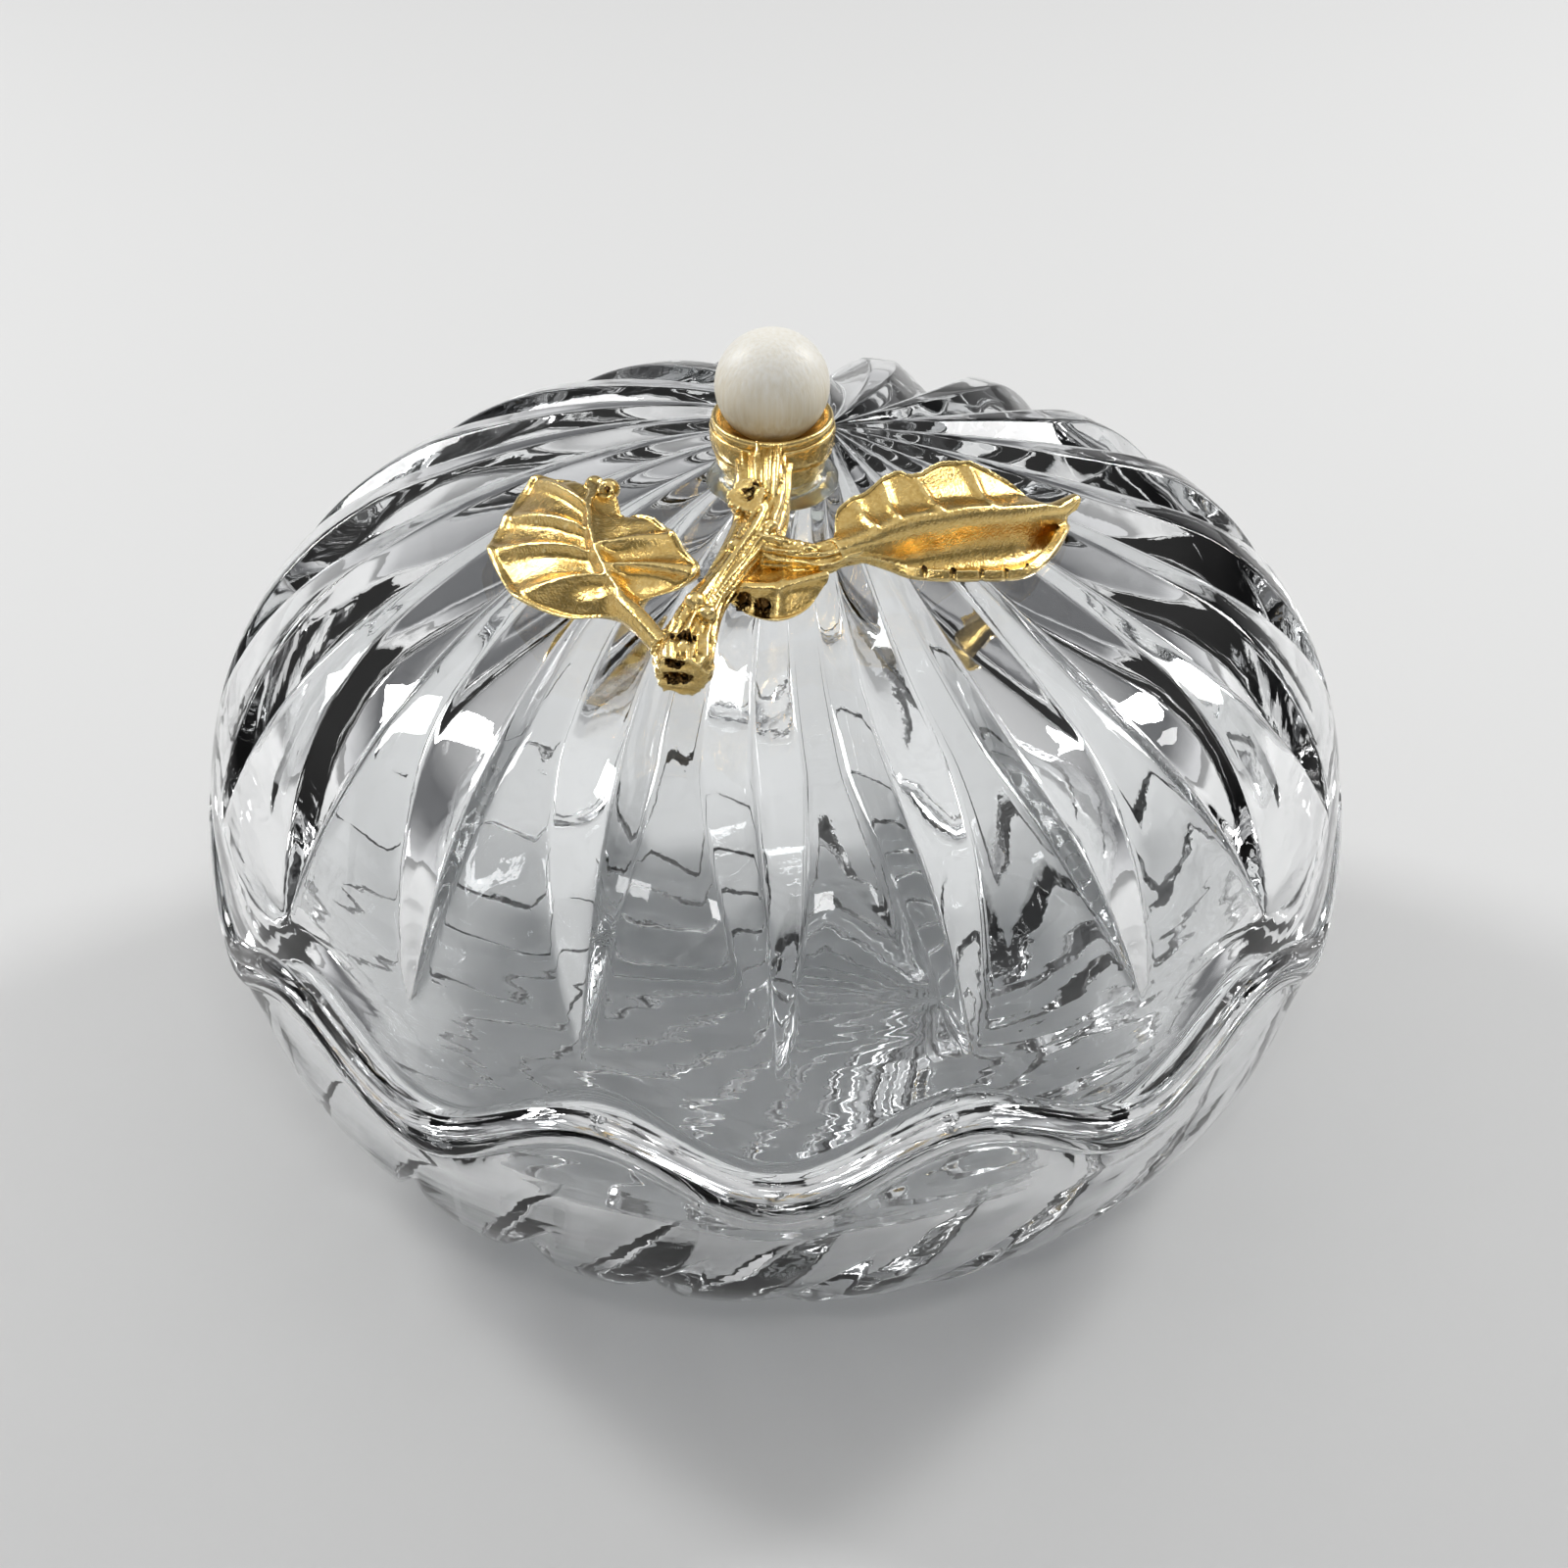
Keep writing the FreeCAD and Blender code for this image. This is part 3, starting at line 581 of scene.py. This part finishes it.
fluteCut = dict(
    copies=20, firstBearing=math.radians(-90), starRight=6 * mm, starBack=13 * mm, twist=math.radians(-18),
    depth=3.7 * mm, slopes=(math.tan(math.radians(54)),) * 2, domeShare=1.0,
    tipRise=6 * mm, peakShare=0.64, leastGroove=0.14, mostGroove=0.46, polish=0.14 * mm,
    rows=56, rowEase=1.15, tipRows=5, sideRows=6, insideRows=(6, 9, 12),
)


def lidRows(cut):
    tipLean = math.acos(cut["tipRise"] / dome["shoulder"])
    run = dome["crownRun"] + dome["shoulder"] * (tipLean - dome["crownLean"])
    tipReach = dome["shoulderCentre"] + dome["shoulder"] * math.sin(tipLean)
    rows = []
    for step in range(cut["rows"] + 1):
        share = (step / cut["rows"]) ** cut["rowEase"]
        along = share * run
        if along < dome["crownRun"]:
            lean = along / dome["crown"]
            reach = dome["crown"] * math.sin(lean)
        else:
            lean = dome["crownLean"] + (along - dome["crownRun"]) / dome["shoulder"]
            reach = dome["shoulderCentre"] + dome["shoulder"] * math.sin(lean)
        if share < cut["peakShare"]:
            depth = cut["depth"] * share / cut["peakShare"]
        else:
            depth = cut["depth"] * (1 - ((share - cut["peakShare"]) / (1 - cut["peakShare"])) ** 2)
        drift = 1 - reach / tipReach
        rows.append(profileRow(reach, domeLevel(reach), lean, depth, cut["twist"] * drift, drift))
    wall = outline["wall"]
    onSide, onShoulder, onCrown = cut["insideRows"]
    rim = outline["seamHeight"] + outline["seamGap"] / 2
    shoulderCentre = (dome["shoulderCentre"], outline["girthHeight"])
    rows += arcRows(shoulderCentre, dome["shoulder"], math.pi / 2 - tipLean, 0, cut["tipRows"])[1:]
    bead = beadRows(rim, 1)
    sideEnd = sideAngle(bead[0]["level"] + outline["beadNeck"], outline["sideRadius"])
    rows += arcRows(sideCentre, outline["sideRadius"], 0, sideEnd, cut["sideRows"])[1:]
    rows += bead
    inside = outline["sideRadius"] - wall
    rimAngle = sideAngle(rim, inside)
    innerReach = sideCentre[0] + inside * math.cos(rimAngle)
    rows.append(profileRow(innerReach + outline["beadProud"], rim, wave=1))
    crownStart = math.pi / 2 - dome["crownLean"]
    rows += arcRows(sideCentre, inside, sideAngle(rim + outline["beadProud"], inside), 0, onSide)
    rows += arcRows(shoulderCentre, dome["shoulder"] - wall, 0, crownStart, onShoulder)[1:]
    crownCentre = (0, dome["crownCentre"])
    rows += arcRows(crownCentre, dome["crown"] - wall, crownStart, math.pi / 2, onCrown)[1:]
    return rows


cutGlass = glassRule()
lidGlass = turnSector(sectorPiece("lidGlass", lidRows(fluteCut), fluteCut), cutGlass, ruleValues(fluteCut))
seatPiece(lidGlass, "lid", "clear_glass", "lid")


# Bowl glass

petalCut = dict(
    copies=22, firstBearing=math.radians(-96.7), starRight=19 * mm, starBack=3 * mm, swirl=math.radians(-24),
    depth=2.4 * mm, slopes=(math.tan(math.radians(40)), math.tan(math.radians(70))), domeShare=0.0,
    tipHeight=22.5 * mm, sweep=0.8, leastGroove=0.1, mostGroove=0.46, polish=0.12 * mm, rows=30,
    footStar=((0, 0), (0.1, 0.3 * mm), (0.25, 1.1 * mm), (0.4, 1.8 * mm), (0.55, 2.3 * mm), (0.7, 2.6 * mm),
              (0.85, 2.3 * mm)),
    footSlopes=(math.tan(math.radians(42)), math.tan(math.radians(50))),
    bellyRows=3, sideRows=6, insideRows=(6, 10), floorShares=(0.66, 0.33, 0),
)


def bowlRows(cut):
    lean = math.asin((outline["girthHeight"] - outline["bellyStart"]) / outline["sideRadius"])
    belly = (outline["bellyStart"] + outline["footGrind"]) / (1 - math.sin(lean))
    centre = (sideCentre[0] + (outline["sideRadius"] - belly) * math.cos(lean),
              outline["girthHeight"] - (outline["sideRadius"] - belly) * math.sin(lean))
    foot = math.asin(centre[1] / belly)
    tip = math.asin((centre[1] - cut["tipHeight"]) / belly)
    footReach = centre[0] + belly * math.cos(foot)
    rows = []
    for share, sink in cut["footStar"]:  # the swirl runs on under the foot as a shallow star
        rows.append(profileRow(footReach * share, 0, math.pi, sink, cut["swirl"] * (2 - share), 1 - share,
                               slopes=cut["footSlopes"]))
    for step in range(cut["rows"] + 1):
        share = 1 - step / cut["rows"]
        angle = lerp(tip, foot, share)
        depth = cut["depth"] * math.sin(math.pi * cut["sweep"] * share)
        rows.append(profileRow(centre[0] + belly * math.cos(angle), centre[1] - belly * math.sin(angle),
                               math.pi / 2 + angle, depth, cut["swirl"] * share))
    rows += arcRows(centre, belly, -tip, -lean, cut["bellyRows"])[1:]
    rim = outline["seamHeight"] - outline["seamGap"] / 2
    bead = beadRows(rim, -1)
    sideEnd = sideAngle(bead[0]["level"] - outline["beadNeck"], outline["sideRadius"])
    rows += arcRows(sideCentre, outline["sideRadius"], -lean, sideEnd, cut["sideRows"])[1:]
    rows += bead
    inside = outline["sideRadius"] - outline["wall"]
    innerReach = sideCentre[0] + inside * math.cos(sideAngle(rim, inside))
    rows.append(profileRow(innerReach + outline["beadProud"], rim, wave=1))
    onSide, onBelly = cut["insideRows"]
    rows += arcRows(sideCentre, inside, sideAngle(rim - outline["beadProud"], inside), -lean, onSide)
    rows += arcRows(centre, belly - outline["wall"], -lean, -math.pi / 2, onBelly)[1:]
    floor = centre[1] - belly + outline["wall"]
    rows += [profileRow(centre[0] * share, floor) for share in cut["floorShares"]]
    return rows


bowlGlass = turnSector(sectorPiece("bowlGlass", bowlRows(petalCut), petalCut), cutGlass, ruleValues(petalCut))
seatPiece(bowlGlass, "bowl", "clear_glass", "bowl")


# Bead cup, turned and then hammered by hand

cup = dict(
    profile=((0, 80.25), (3.0, 80.25), (4.7, 80.3), (5.0, 80.7), (5.5, 82.0), (6.1, 83.6), (6.35, 84.1),
             (6.5, 84.3), (6.42, 84.6), (6.55, 84.9), (6.68, 85.6), (6.7, 86.6), (6.62, 87.0),
             (6.45, 87.1), (6.5, 87.3), (6.5, 87.8), (6.3, 88.1), (6.0, 88.1), (5.75, 87.8), (5.6, 87.4),
             (4.8, 87.0), (3.6, 86.3), (2.0, 85.6), (0, 85.35)),
    around=160, rowsPerSpan=4, dent=0.22 * mm, dentScale=420, waveRatio=1.7,
    workedLevel=(88, 84), workedReach=(3, 5), flatShare=0.25, waveShare=0.9, bandShare=0.12,
)


def cupPiece(settings):
    line = smoothLine([(reach, 0, level) for reach, level in settings["profile"]],
                      (len(settings["profile"]) - 1) * settings["rowsPerSpan"])
    points = []
    for place in line:
        for step in range(settings["around"]):
            bearing = 2 * math.pi * step / settings["around"]
            spot = Vector((place.x * math.cos(bearing), place.x * math.sin(bearing), place.z))
            worked = smoothStep(*settings["workedLevel"], place.z / mm)
            worked *= smoothStep(*settings["workedReach"], place.x / mm)
            flat = noise.cell(spot * settings["dentScale"]) - 0.5
            wavy = noise.noise(spot * settings["dentScale"] * settings["waveRatio"])
            dent = worked * (settings["flatShare"] * flat + settings["waveShare"] * wavy)
            dent += settings["bandShare"] * wavy
            spot += Vector((math.cos(bearing), math.sin(bearing), 0)) * settings["dent"] * dent
            points.append(spot)
    piece = newPiece("beadCup", points, gridFaces(len(line), settings["around"], True), giltMaterial)
    return tidyMesh(piece, 1e-5)


beadCup = cupPiece(cup)
seatPiece(beadCup, "lid", "gilt_brass", "finial_cup")


# Cement squeezed out round the cup's foot

cement = dict(
    profile=((4.75, 80.35), (6.4, 80.1), (6.9, 80.05), (7.1, 80.35), (6.7, 81.0), (6.1, 81.7),
             (5.6, 82.0), (5.45, 81.8), (5.0, 81.0), (4.75, 80.35)),
    around=144, rowsPerSpan=4, drift=0.35 * mm, driftReach=(5.5, 7.2), driftSpread=2.2, driftSeed=4,
)


def cementPiece(settings):
    line = smoothLine([(reach, 0, level) for reach, level in settings["profile"]],
                      (len(settings["profile"]) - 1) * settings["rowsPerSpan"])[:-1]
    rows = len(line)
    points = []
    for place in line:
        for step in range(settings["around"]):
            bearing = 2 * math.pi * step / settings["around"]
            outer = smoothStep(*settings["driftReach"], place.x / mm)
            drift = ringNoise(bearing, settings["driftSpread"], settings["driftSeed"])
            reach = place.x + settings["drift"] * outer * drift
            points.append((reach * math.cos(bearing), reach * math.sin(bearing), place.z))
    faces = gridFaces(rows, settings["around"], True)
    last = (rows - 1) * settings["around"]
    for step in range(settings["around"]):
        beside = (step + 1) % settings["around"]
        faces.append((last + step, last + beside, beside, step))
    return tidyMesh(newPiece("cupCement", points, faces, cementMaterial), 1e-7)


cupCement = cementPiece(cement)
seatPiece(cupCement, "lid", "clear_cement", "cup_cement")


# Twig: stem, cut stub, stump and side twig, grown together and marked like bark

twig = dict(
    stub=((-0.9, -5.4, 85.2), (-1.0, -9.0, 84.6), (-1.2, -13.0, 82.9), (-2.4, -17.0, 81.9),
          (-4.6, -21.5, 81.3), (-6.7, -26.0, 80.6), (-8.4, -30.5, 79.3), (-9.0, -33.2, 78.5),
          (-9.2, -35.2, 78.0)),
    stubRadii=(3.1, 3.0, 2.8, 2.6, 2.1, 1.9, 2.7, 3.0, 2.9),
    side=((-2.2, -17.0, 81.9), (1.0, -18.2, 81.7), (4.5, -18.5, 81.6), (8.0, -17.5, 81.9),
          (11.0, -15.7, 82.3)),
    sideRadii=(2.3, 1.9, 1.6, 1.5, 1.2),
    stump=((-2.2, -10.6, 82.6), (-2.5, -12.0, 84.4), (-2.7, -13.2, 86.0)), stumpRadii=(1.8, 1.9, 2.0),
    petiole=((-8.3, -32.6, 79.2), (-9.9, -31.6, 79.0), (-11.7, -30.6, 78.9)), petioleRadii=(1.7, 1.6, 1.4),
    knots=((-7.9, -27.6, 82.0, 1.1), (-6.6, -29.3, 81.6, 1.0), (-3.8, -19.2, 83.4, 0.9),
           (2.6, -18.6, 83.0, 0.7), (-0.2, -16.2, 84.0, 0.8), (6.2, -18.3, 82.6, 0.6)),
    hollows=((-8.6, -32.8, 81.4, 1.5, 0.45, 0.8), (-9.8, -35.2, 79.8, 1.4, 0.5, 0.9),
             (-9.9, -35.3, 77.6, 1.5, 0.55, 0.9), (-9.8, -35.2, 76.0, 1.2, 0.4, 0.8),
             (-2.8, -13.3, 86.2, 0.6, 0.5, 0.8), (-1.9, -12.4, 86.4, 0.4, 0.5, 0.6)),
    barkDepth=0.46, voxel=0.14, around=72, steps=120, crackSharpness=4, firstSeed=1, seedStep=8,
    barkWaves=dict(ridge=(3.2, 2.2, 0, 1.3), lump=(1.1, 7, 5, 0.8), crack=(4.5, 4, 2, -0.9)),
)


def barkTube(places, radii, settings, seed):
    line = smoothLine(places, settings["steps"])
    spread = smoothLine([(radius, 0, 0) for radius in radii], settings["steps"])
    points = []
    for index, place in enumerate(line):
        ahead = (line[min(index + 1, len(line) - 1)] - line[max(index - 1, 0)]).normalized()
        right = ahead.cross(Vector((0, 0, 1))).normalized()
        up = right.cross(ahead)
        for step in range(settings["around"]):
            turn = 2 * math.pi * step / settings["around"]
            run = index / settings["steps"]
            bark = 0
            for label, (wide, along, shift, share) in settings["barkWaves"].items():
                wave = ringNoise(turn, wide, along * run + seed + shift)
                if label == "crack":
                    wave = max(0, 1 - abs(wave) * settings["crackSharpness"])
                bark += share * wave
            radius = spread[index].x + settings["barkDepth"] * mm * bark
            points.append(place + (right * math.cos(turn) + up * math.sin(turn)) * radius)
    around = settings["around"]
    faces = gridFaces(len(line), around, True)
    faces.append(tuple(range(around)))
    faces.append(tuple((len(line) - 1) * around + step for step in range(around)))
    return points, faces


def addPart(points, faces, part):
    start = len(points)
    points += part[0]
    faces += [tuple(start + corner for corner in face) for face in part[1]]


def ballPart(centre, radius):
    shell = bmesh.new()
    bmesh.ops.create_icosphere(shell, subdivisions=3, radius=radius * mm)
    points = [vertex.co + Vector(centre) * mm for vertex in shell.verts]
    faces = [tuple(vertex.index for vertex in face.verts) for face in shell.faces]
    shell.free()
    return points, faces


def grownTogether(piece, voxel, rounds=2):  # one skin over all the parts, with worn edges
    tidyMesh(piece, 1e-7)
    remesh = piece.modifiers.new("grown", "REMESH")
    remesh.mode = "VOXEL"
    remesh.voxel_size = voxel * mm
    soft = piece.modifiers.new("worn", "SMOOTH")
    soft.iterations = rounds
    bakeModifiers(piece)
    for face in piece.data.polygons:
        face.use_smooth = True
    return piece


def pressHollows(piece, hollows, limit=3):  # each hollow: place, half width, half height, depth
    for x, y, z, wide, tall, depth in hollows:
        centre = Vector((x, y, z)) * mm
        near = [vertex for vertex in piece.data.vertices if abs(vertex.co.x - centre.x) < limit * wide * mm]
        for vertex in near:
            gap = vertex.co - centre
            far = math.hypot(gap.x / wide, math.hypot(gap.y, gap.z) / tall) / mm
            if far < limit:
                vertex.co -= vertex.normal * depth * mm * math.exp(-far ** 2)
    piece.data.update()


def twigPiece(settings):
    points = []
    faces = []
    for order, branch in enumerate(("stub", "side", "stump", "petiole")):
        seed = settings["firstSeed"] + settings["seedStep"] * order
        addPart(points, faces, barkTube(settings[branch], settings[branch + "Radii"], settings, seed))
    for x, y, z, radius in settings["knots"]:
        addPart(points, faces, ballPart((x, y, z), radius))
    piece = newPiece("twigGilt", points, faces, giltMaterial)
    grownTogether(piece, settings["voxel"])
    pressHollows(piece, settings["hollows"])
    return piece


twigGilt = twigPiece(twig)
seatPiece(twigGilt, "lid", "gilt_brass", "twig")


# Leaves: a sheet between a midrib and two edges, with raised veins, a round midrib and a rolled rim

leafForm = dict(
    columnEase=1.15, sagWidth=(1, 6), bladeWidth=(1.2, 4.0), rimStart=(0.92, 0.975),
    veinSpread=(0.75, 1.2), veinStart=(0.0, 0.2), veinFall=(1, 0.5), grainScale=420, underShare=0.4,
)


def leafPiece(name, settings):
    steps = settings["steps"]
    halves = settings["across"]
    rib = smoothLine(settings["rib"], steps)
    edges = (smoothLine(settings["outer"], steps), smoothLine(settings["inner"], steps))
    stations = len(settings["rib"]) - 1
    base = []
    relief = []
    for step in range(steps + 1):
        station = stations * step / steps
        ribWide = lerp(*settings["ribWidth"], step / steps)
        for column in range(-halves, halves + 1):
            side = 0 if column < 0 else 1
            share = (abs(column) / halves) ** leafForm["columnEase"]
            edge = edges[side][step]
            width = (edge - rib[step]).length / mm
            spot = lerp(rib[step], edge, share)
            sag = settings["sag"][side] * smoothStep(*leafForm["sagWidth"], width)
            spot.z += sag * mm * math.sin(math.pi * share)
            base.append(spot)
            blade = smoothStep(*leafForm["bladeWidth"], width)
            height = settings["ribHeight"] * hump(share * width, ribWide)
            for vein in settings["veins"][side]:
                ridge = hump(station - vein, lerp(*leafForm["veinSpread"], share) * settings["veinWidth"])
                rise = smoothStep(*leafForm["veinStart"], share) * lerp(*leafForm["veinFall"], share)
                height += settings["veinHeight"] * ridge * blade * rise
            height += settings["rimHeight"] * smoothStep(*leafForm["rimStart"], share) * blade
            height += settings["grain"] * noise.noise(spot * leafForm["grainScale"])
            relief.append(height * mm)
    columns = 2 * halves + 1
    normals = []
    for row in range(steps + 1):
        for column in range(columns):
            after = base[min(row + 1, steps) * columns + column]
            before = base[max(row - 1, 0) * columns + column]
            right = base[row * columns + min(column + 1, columns - 1)]
            left = base[row * columns + max(column - 1, 0)]
            normal = (right - left).cross(after - before).normalized()
            normals.append(normal if normal.z > 0 else -normal)
    top = [spot + normal * height for spot, normal, height in zip(base, normals, relief)]
    thick = settings["thickness"] * mm
    hollow = leafForm["underShare"]
    under = [spot - normal * (thick - hollow * height) for spot, normal, height in zip(base, normals, relief)]
    size = len(top)
    faces = gridFaces(steps + 1, columns)
    faces += [tuple(size + corner for corner in reversed(face)) for face in gridFaces(steps + 1, columns)]
    ring = list(range(columns))
    ring += [row * columns + columns - 1 for row in range(1, steps + 1)]
    ring += [steps * columns + column for column in range(columns - 2, -1, -1)]
    ring += [row * columns for row in range(steps - 1, 0, -1)]
    for first, second in zip(ring, ring[1:] + ring[:1]):
        faces.append((first, second, size + second, size + first))
    points = top + under
    for x, y, z, radius in settings["curls"]:
        addPart(points, faces, ballPart((x, y, z), radius))
    piece = newPiece(name, points, faces, giltMaterial)
    grownTogether(piece, settings["voxel"])
    pressHollows(piece, settings["hollows"])
    return piece


leftLeaf = dict(
    rib=((-11.0, -31.4, 78.9), (-13.6, -27.5, 79.7), (-15.2, -24.9, 80.1), (-15.9, -23.4, 80.4),
         (-16.5, -21.8, 80.7), (-17.2, -20.0, 81.1), (-17.8, -18.2, 81.3), (-18.2, -16.5, 81.5),
         (-18.5, -14.6, 81.7), (-18.8, -12.6, 81.8), (-19.0, -10.6, 81.9), (-19.0, -8.2, 81.9),
         (-18.9, -5.4, 81.9)),
    outer=((-12.1, -31.5, 78.5), (-14.8, -27.6, 79.2), (-16.8, -25.6, 78.9), (-21.4, -23.5, 77.6),
           (-26.1, -19.3, 77.1), (-28.4, -14.9, 77.1), (-29.5, -10.5, 77.3), (-29.3, -7.7, 77.8),
           (-28.0, -5.5, 78.4), (-27.0, -2.0, 79.1), (-25.2, -0.5, 80.0), (-22.8, -1.8, 80.9),
           (-20.2, -3.6, 81.6)),
    inner=((-9.9, -31.2, 78.8), (-12.5, -27.3, 79.5), (-13.6, -24.9, 80.2), (-12.4, -23.9, 80.2),
           (-9.6, -23.4, 80.9), (-7.4, -22.4, 82.3), (-9.0, -19.5, 83.0), (-10.5, -16.6, 83.4),
           (-12.0, -14.5, 83.6), (-13.7, -13.2, 83.3), (-15.6, -12.3, 82.9), (-16.1, -10.0, 83.2),
           (-17.1, -6.0, 83.4)),
    veins=((4.0, 6.0, 8.0, 10.0), (4.9, 6.6)), sag=(1.0, 0.5), ribHeight=1.5, ribWidth=(1.2, 1.0),
    veinHeight=1.35, veinWidth=0.36, rimHeight=0.4, grain=0.06, thickness=0.9,
    steps=170, across=56, voxel=0.14,
    curls=((-17.2, -7.0, 83.1, 1.2), (-18.8, -5.0, 82.4, 1.1)), hollows=((-17.6, -8.4, 83.6, 0.5, 0.6, 0.6),),
)
leftLeafGilt = leafPiece("leftLeafGilt", leftLeaf)
seatPiece(leftLeafGilt, "lid", "gilt_brass", "left_leaf")

rightLeaf = dict(
    rib=((6.3, -18.2, 81.9), (9.0, -16.9, 82.2), (11.4, -15.3, 82.5), (14.1, -13.8, 82.6),
         (17.2, -12.5, 82.4), (20.4, -10.9, 81.9), (23.4, -9.4, 81.1), (26.4, -7.5, 80.2),
         (29.3, -4.7, 79.0), (31.9, -2.1, 77.9)),
    outer=((7.0, -18.9, 81.2), (9.8, -18.1, 81.0), (12.3, -17.3, 80.0), (14.5, -17.6, 79.4),
           (17.8, -17.4, 78.9), (21.1, -16.7, 78.4), (23.8, -16.0, 78.0), (26.4, -14.6, 77.6),
           (28.8, -10.7, 77.6), (31.7, -3.0, 77.6)),
    inner=((6.4, -17.2, 82.1), (6.7, -13.6, 84.2), (9.5, -11.4, 85.0), (12.7, -8.2, 85.6),
           (14.8, -8.3, 85.2), (17.7, -5.4, 85.1), (21.6, -4.4, 84.0), (25.4, -5.2, 82.1),
           (28.0, -5.4, 80.1), (31.4, -1.8, 78.2)),
    veins=((), (1.6, 2.5, 4.0, 5.7)), sag=(-2.1, 0.3), ribHeight=1.6, ribWidth=(1.5, 1.2),
    veinHeight=0.55, veinWidth=0.16,
    rimHeight=0.4, grain=0.06, thickness=0.9, steps=160, across=48, voxel=0.14, curls=(),
    hollows=((15.6, -17.2, 79.6, 0.22, 1.1, 0.4), (18.6, -17.0, 79.1, 0.25, 1.3, 0.45),
             (21.6, -16.2, 78.7, 0.22, 1.4, 0.45), (24.2, -15.2, 78.4, 0.22, 1.2, 0.4),
             (26.4, -13.6, 78.0, 0.22, 1.0, 0.35)),
)
rightLeafGilt = leafPiece("rightLeafGilt", rightLeaf)
seatPiece(rightLeafGilt, "lid", "gilt_brass", "right_leaf")

budLeaf = dict(
    rib=((-4.6, -22.4, 81.0), (-2.0, -23.2, 80.9), (1.0, -23.0, 80.9), (3.6, -22.2, 81.1),
         (5.6, -21.4, 81.2)),
    outer=((-4.9, -23.6, 79.9), (-2.6, -25.0, 78.8), (0.6, -25.6, 78.4), (3.4, -24.4, 79.0),
           (5.5, -21.9, 80.6)),
    inner=((-4.2, -20.4, 81.0), (-1.6, -19.4, 80.8), (1.2, -19.0, 80.8), (3.6, -19.2, 80.9),
           (5.4, -20.4, 81.1)),
    veins=((0.5, 1.9), (2.0,)), sag=(0.5, 0.3), ribHeight=0.6, ribWidth=(0.9, 0.6),
    veinHeight=0.4, veinWidth=0.22, rimHeight=0.4, grain=0.05, thickness=0.9,
    steps=80, across=28, voxel=0.12, curls=(),
    hollows=((-3.2, -24.3, 79.8, 0.6, 0.6, 1.0), (-1.2, -24.9, 79.7, 0.65, 0.65, 1.1)),
)
budGilt = leafPiece("budGilt", budLeaf)
seatPiece(budGilt, "lid", "gilt_brass", "bud")


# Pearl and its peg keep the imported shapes

for node, material in (("pearl", pearlMaterial), ("pearl_peg", giltMaterial)):
    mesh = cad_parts[node].data
    mesh.materials.clear()
    mesh.materials.append(material)


# Stage: pale floor, soft boxes and the photograph's viewpoint

stage = dict(
    floorColour=(0.72, 0.72, 0.715, 1), floorRoughness=0.75, floorGloss=0.2,
    floorSize=3.0, floorDrop=0.05 * mm,
    sky=((0.02, (0.67, 0.672, 0.68, 1)), (0.34, (0.12, 0.122, 0.128, 1)), (0.5, (0.12, 0.122, 0.128, 1)),
         (0.85, (0.66, 0.66, 0.66, 1))),
    target=(0.98, 0, 40.34), distance=420, elevation=34.9, roll=-0.37, lens=85.2, sensor=36, nearClip=0.01,
    lampTarget=(0, 0, 0.05),
    softBoxes=(((-0.46, 0.26, 0.43), (0.13, 0.3), 1.9), ((0.45, 0.29, 0.42), (0.13, 0.3), 1.9),
               ((0.05, -0.62, 0.75), (0.2, 0.12), 1.0)),
)


def paleFloor(settings):
    half = settings["floorSize"]
    corners = [(x * half, y * half, -settings["floorDrop"]) for x, y in ((-1, -1), (1, -1), (1, 1), (-1, 1))]
    material, nodes, links, shader = newMaterial("paleFloor")
    shader.inputs["Base Color"].default_value = settings["floorColour"]
    shader.inputs["Roughness"].default_value = settings["floorRoughness"]
    shader.inputs["Specular IOR Level"].default_value = settings["floorGloss"]
    floor = newPiece("paleFloor", corners, [(0, 1, 2, 3)], material)


def softWorld(settings):
    world = bpy.data.worlds.new("softStudio")
    world.use_nodes = True
    bpy.context.scene.world = world
    nodes = world.node_tree.nodes
    links = world.node_tree.links
    place = nodes.new("ShaderNodeTexCoord")
    height = nodes.new("ShaderNodeSeparateXYZ")
    links.new(place.outputs["Generated"], height.inputs[0])
    sky = colourRamp(nodes, links, height.outputs["Z"], settings["sky"])
    links.new(sky, nodes["Background"].inputs["Color"])


def softBox(place, size, power, target):
    lamp = bpy.data.lights.new("softBox", "AREA")
    lamp.shape = "RECTANGLE"
    lamp.size, lamp.size_y = size
    lamp.energy = power
    box = bpy.data.objects.new("softBox", lamp)
    bpy.context.scene.collection.objects.link(box)
    aim = Vector(target) - Vector(place)
    box.matrix_world = Matrix.Translation(place) @ aim.to_track_quat("-Z", "Y").to_matrix().to_4x4()


def photoCamera(settings):
    rise = math.radians(settings["elevation"])
    roll = math.radians(settings["roll"])
    back = Vector((0, -math.cos(rise), math.sin(rise)))
    level = Vector((1, 0, 0))
    upright = Vector((0, math.sin(rise), math.cos(rise)))
    right = level * math.cos(roll) + upright * math.sin(roll)
    up = upright * math.cos(roll) - level * math.sin(roll)
    lens = bpy.data.cameras.new("photoCamera")
    lens.lens = settings["lens"]
    lens.sensor_width = settings["sensor"]
    lens.clip_start = settings["nearClip"]
    camera = bpy.data.objects.new("photoCamera", lens)
    bpy.context.scene.collection.objects.link(camera)
    place = (Vector(settings["target"]) + back * settings["distance"]) * mm
    camera.matrix_world = Matrix.Translation(place) @ Matrix((right, up, back)).transposed().to_4x4()
    bpy.context.scene.camera = camera


paleFloor(stage)
softWorld(stage)
for place, size, power in stage["softBoxes"]:
    softBox(place, size, power, stage["lampTarget"])
photoCamera(stage)
bpy.context.scene.view_settings.view_transform = "Standard"
print("stage ready")
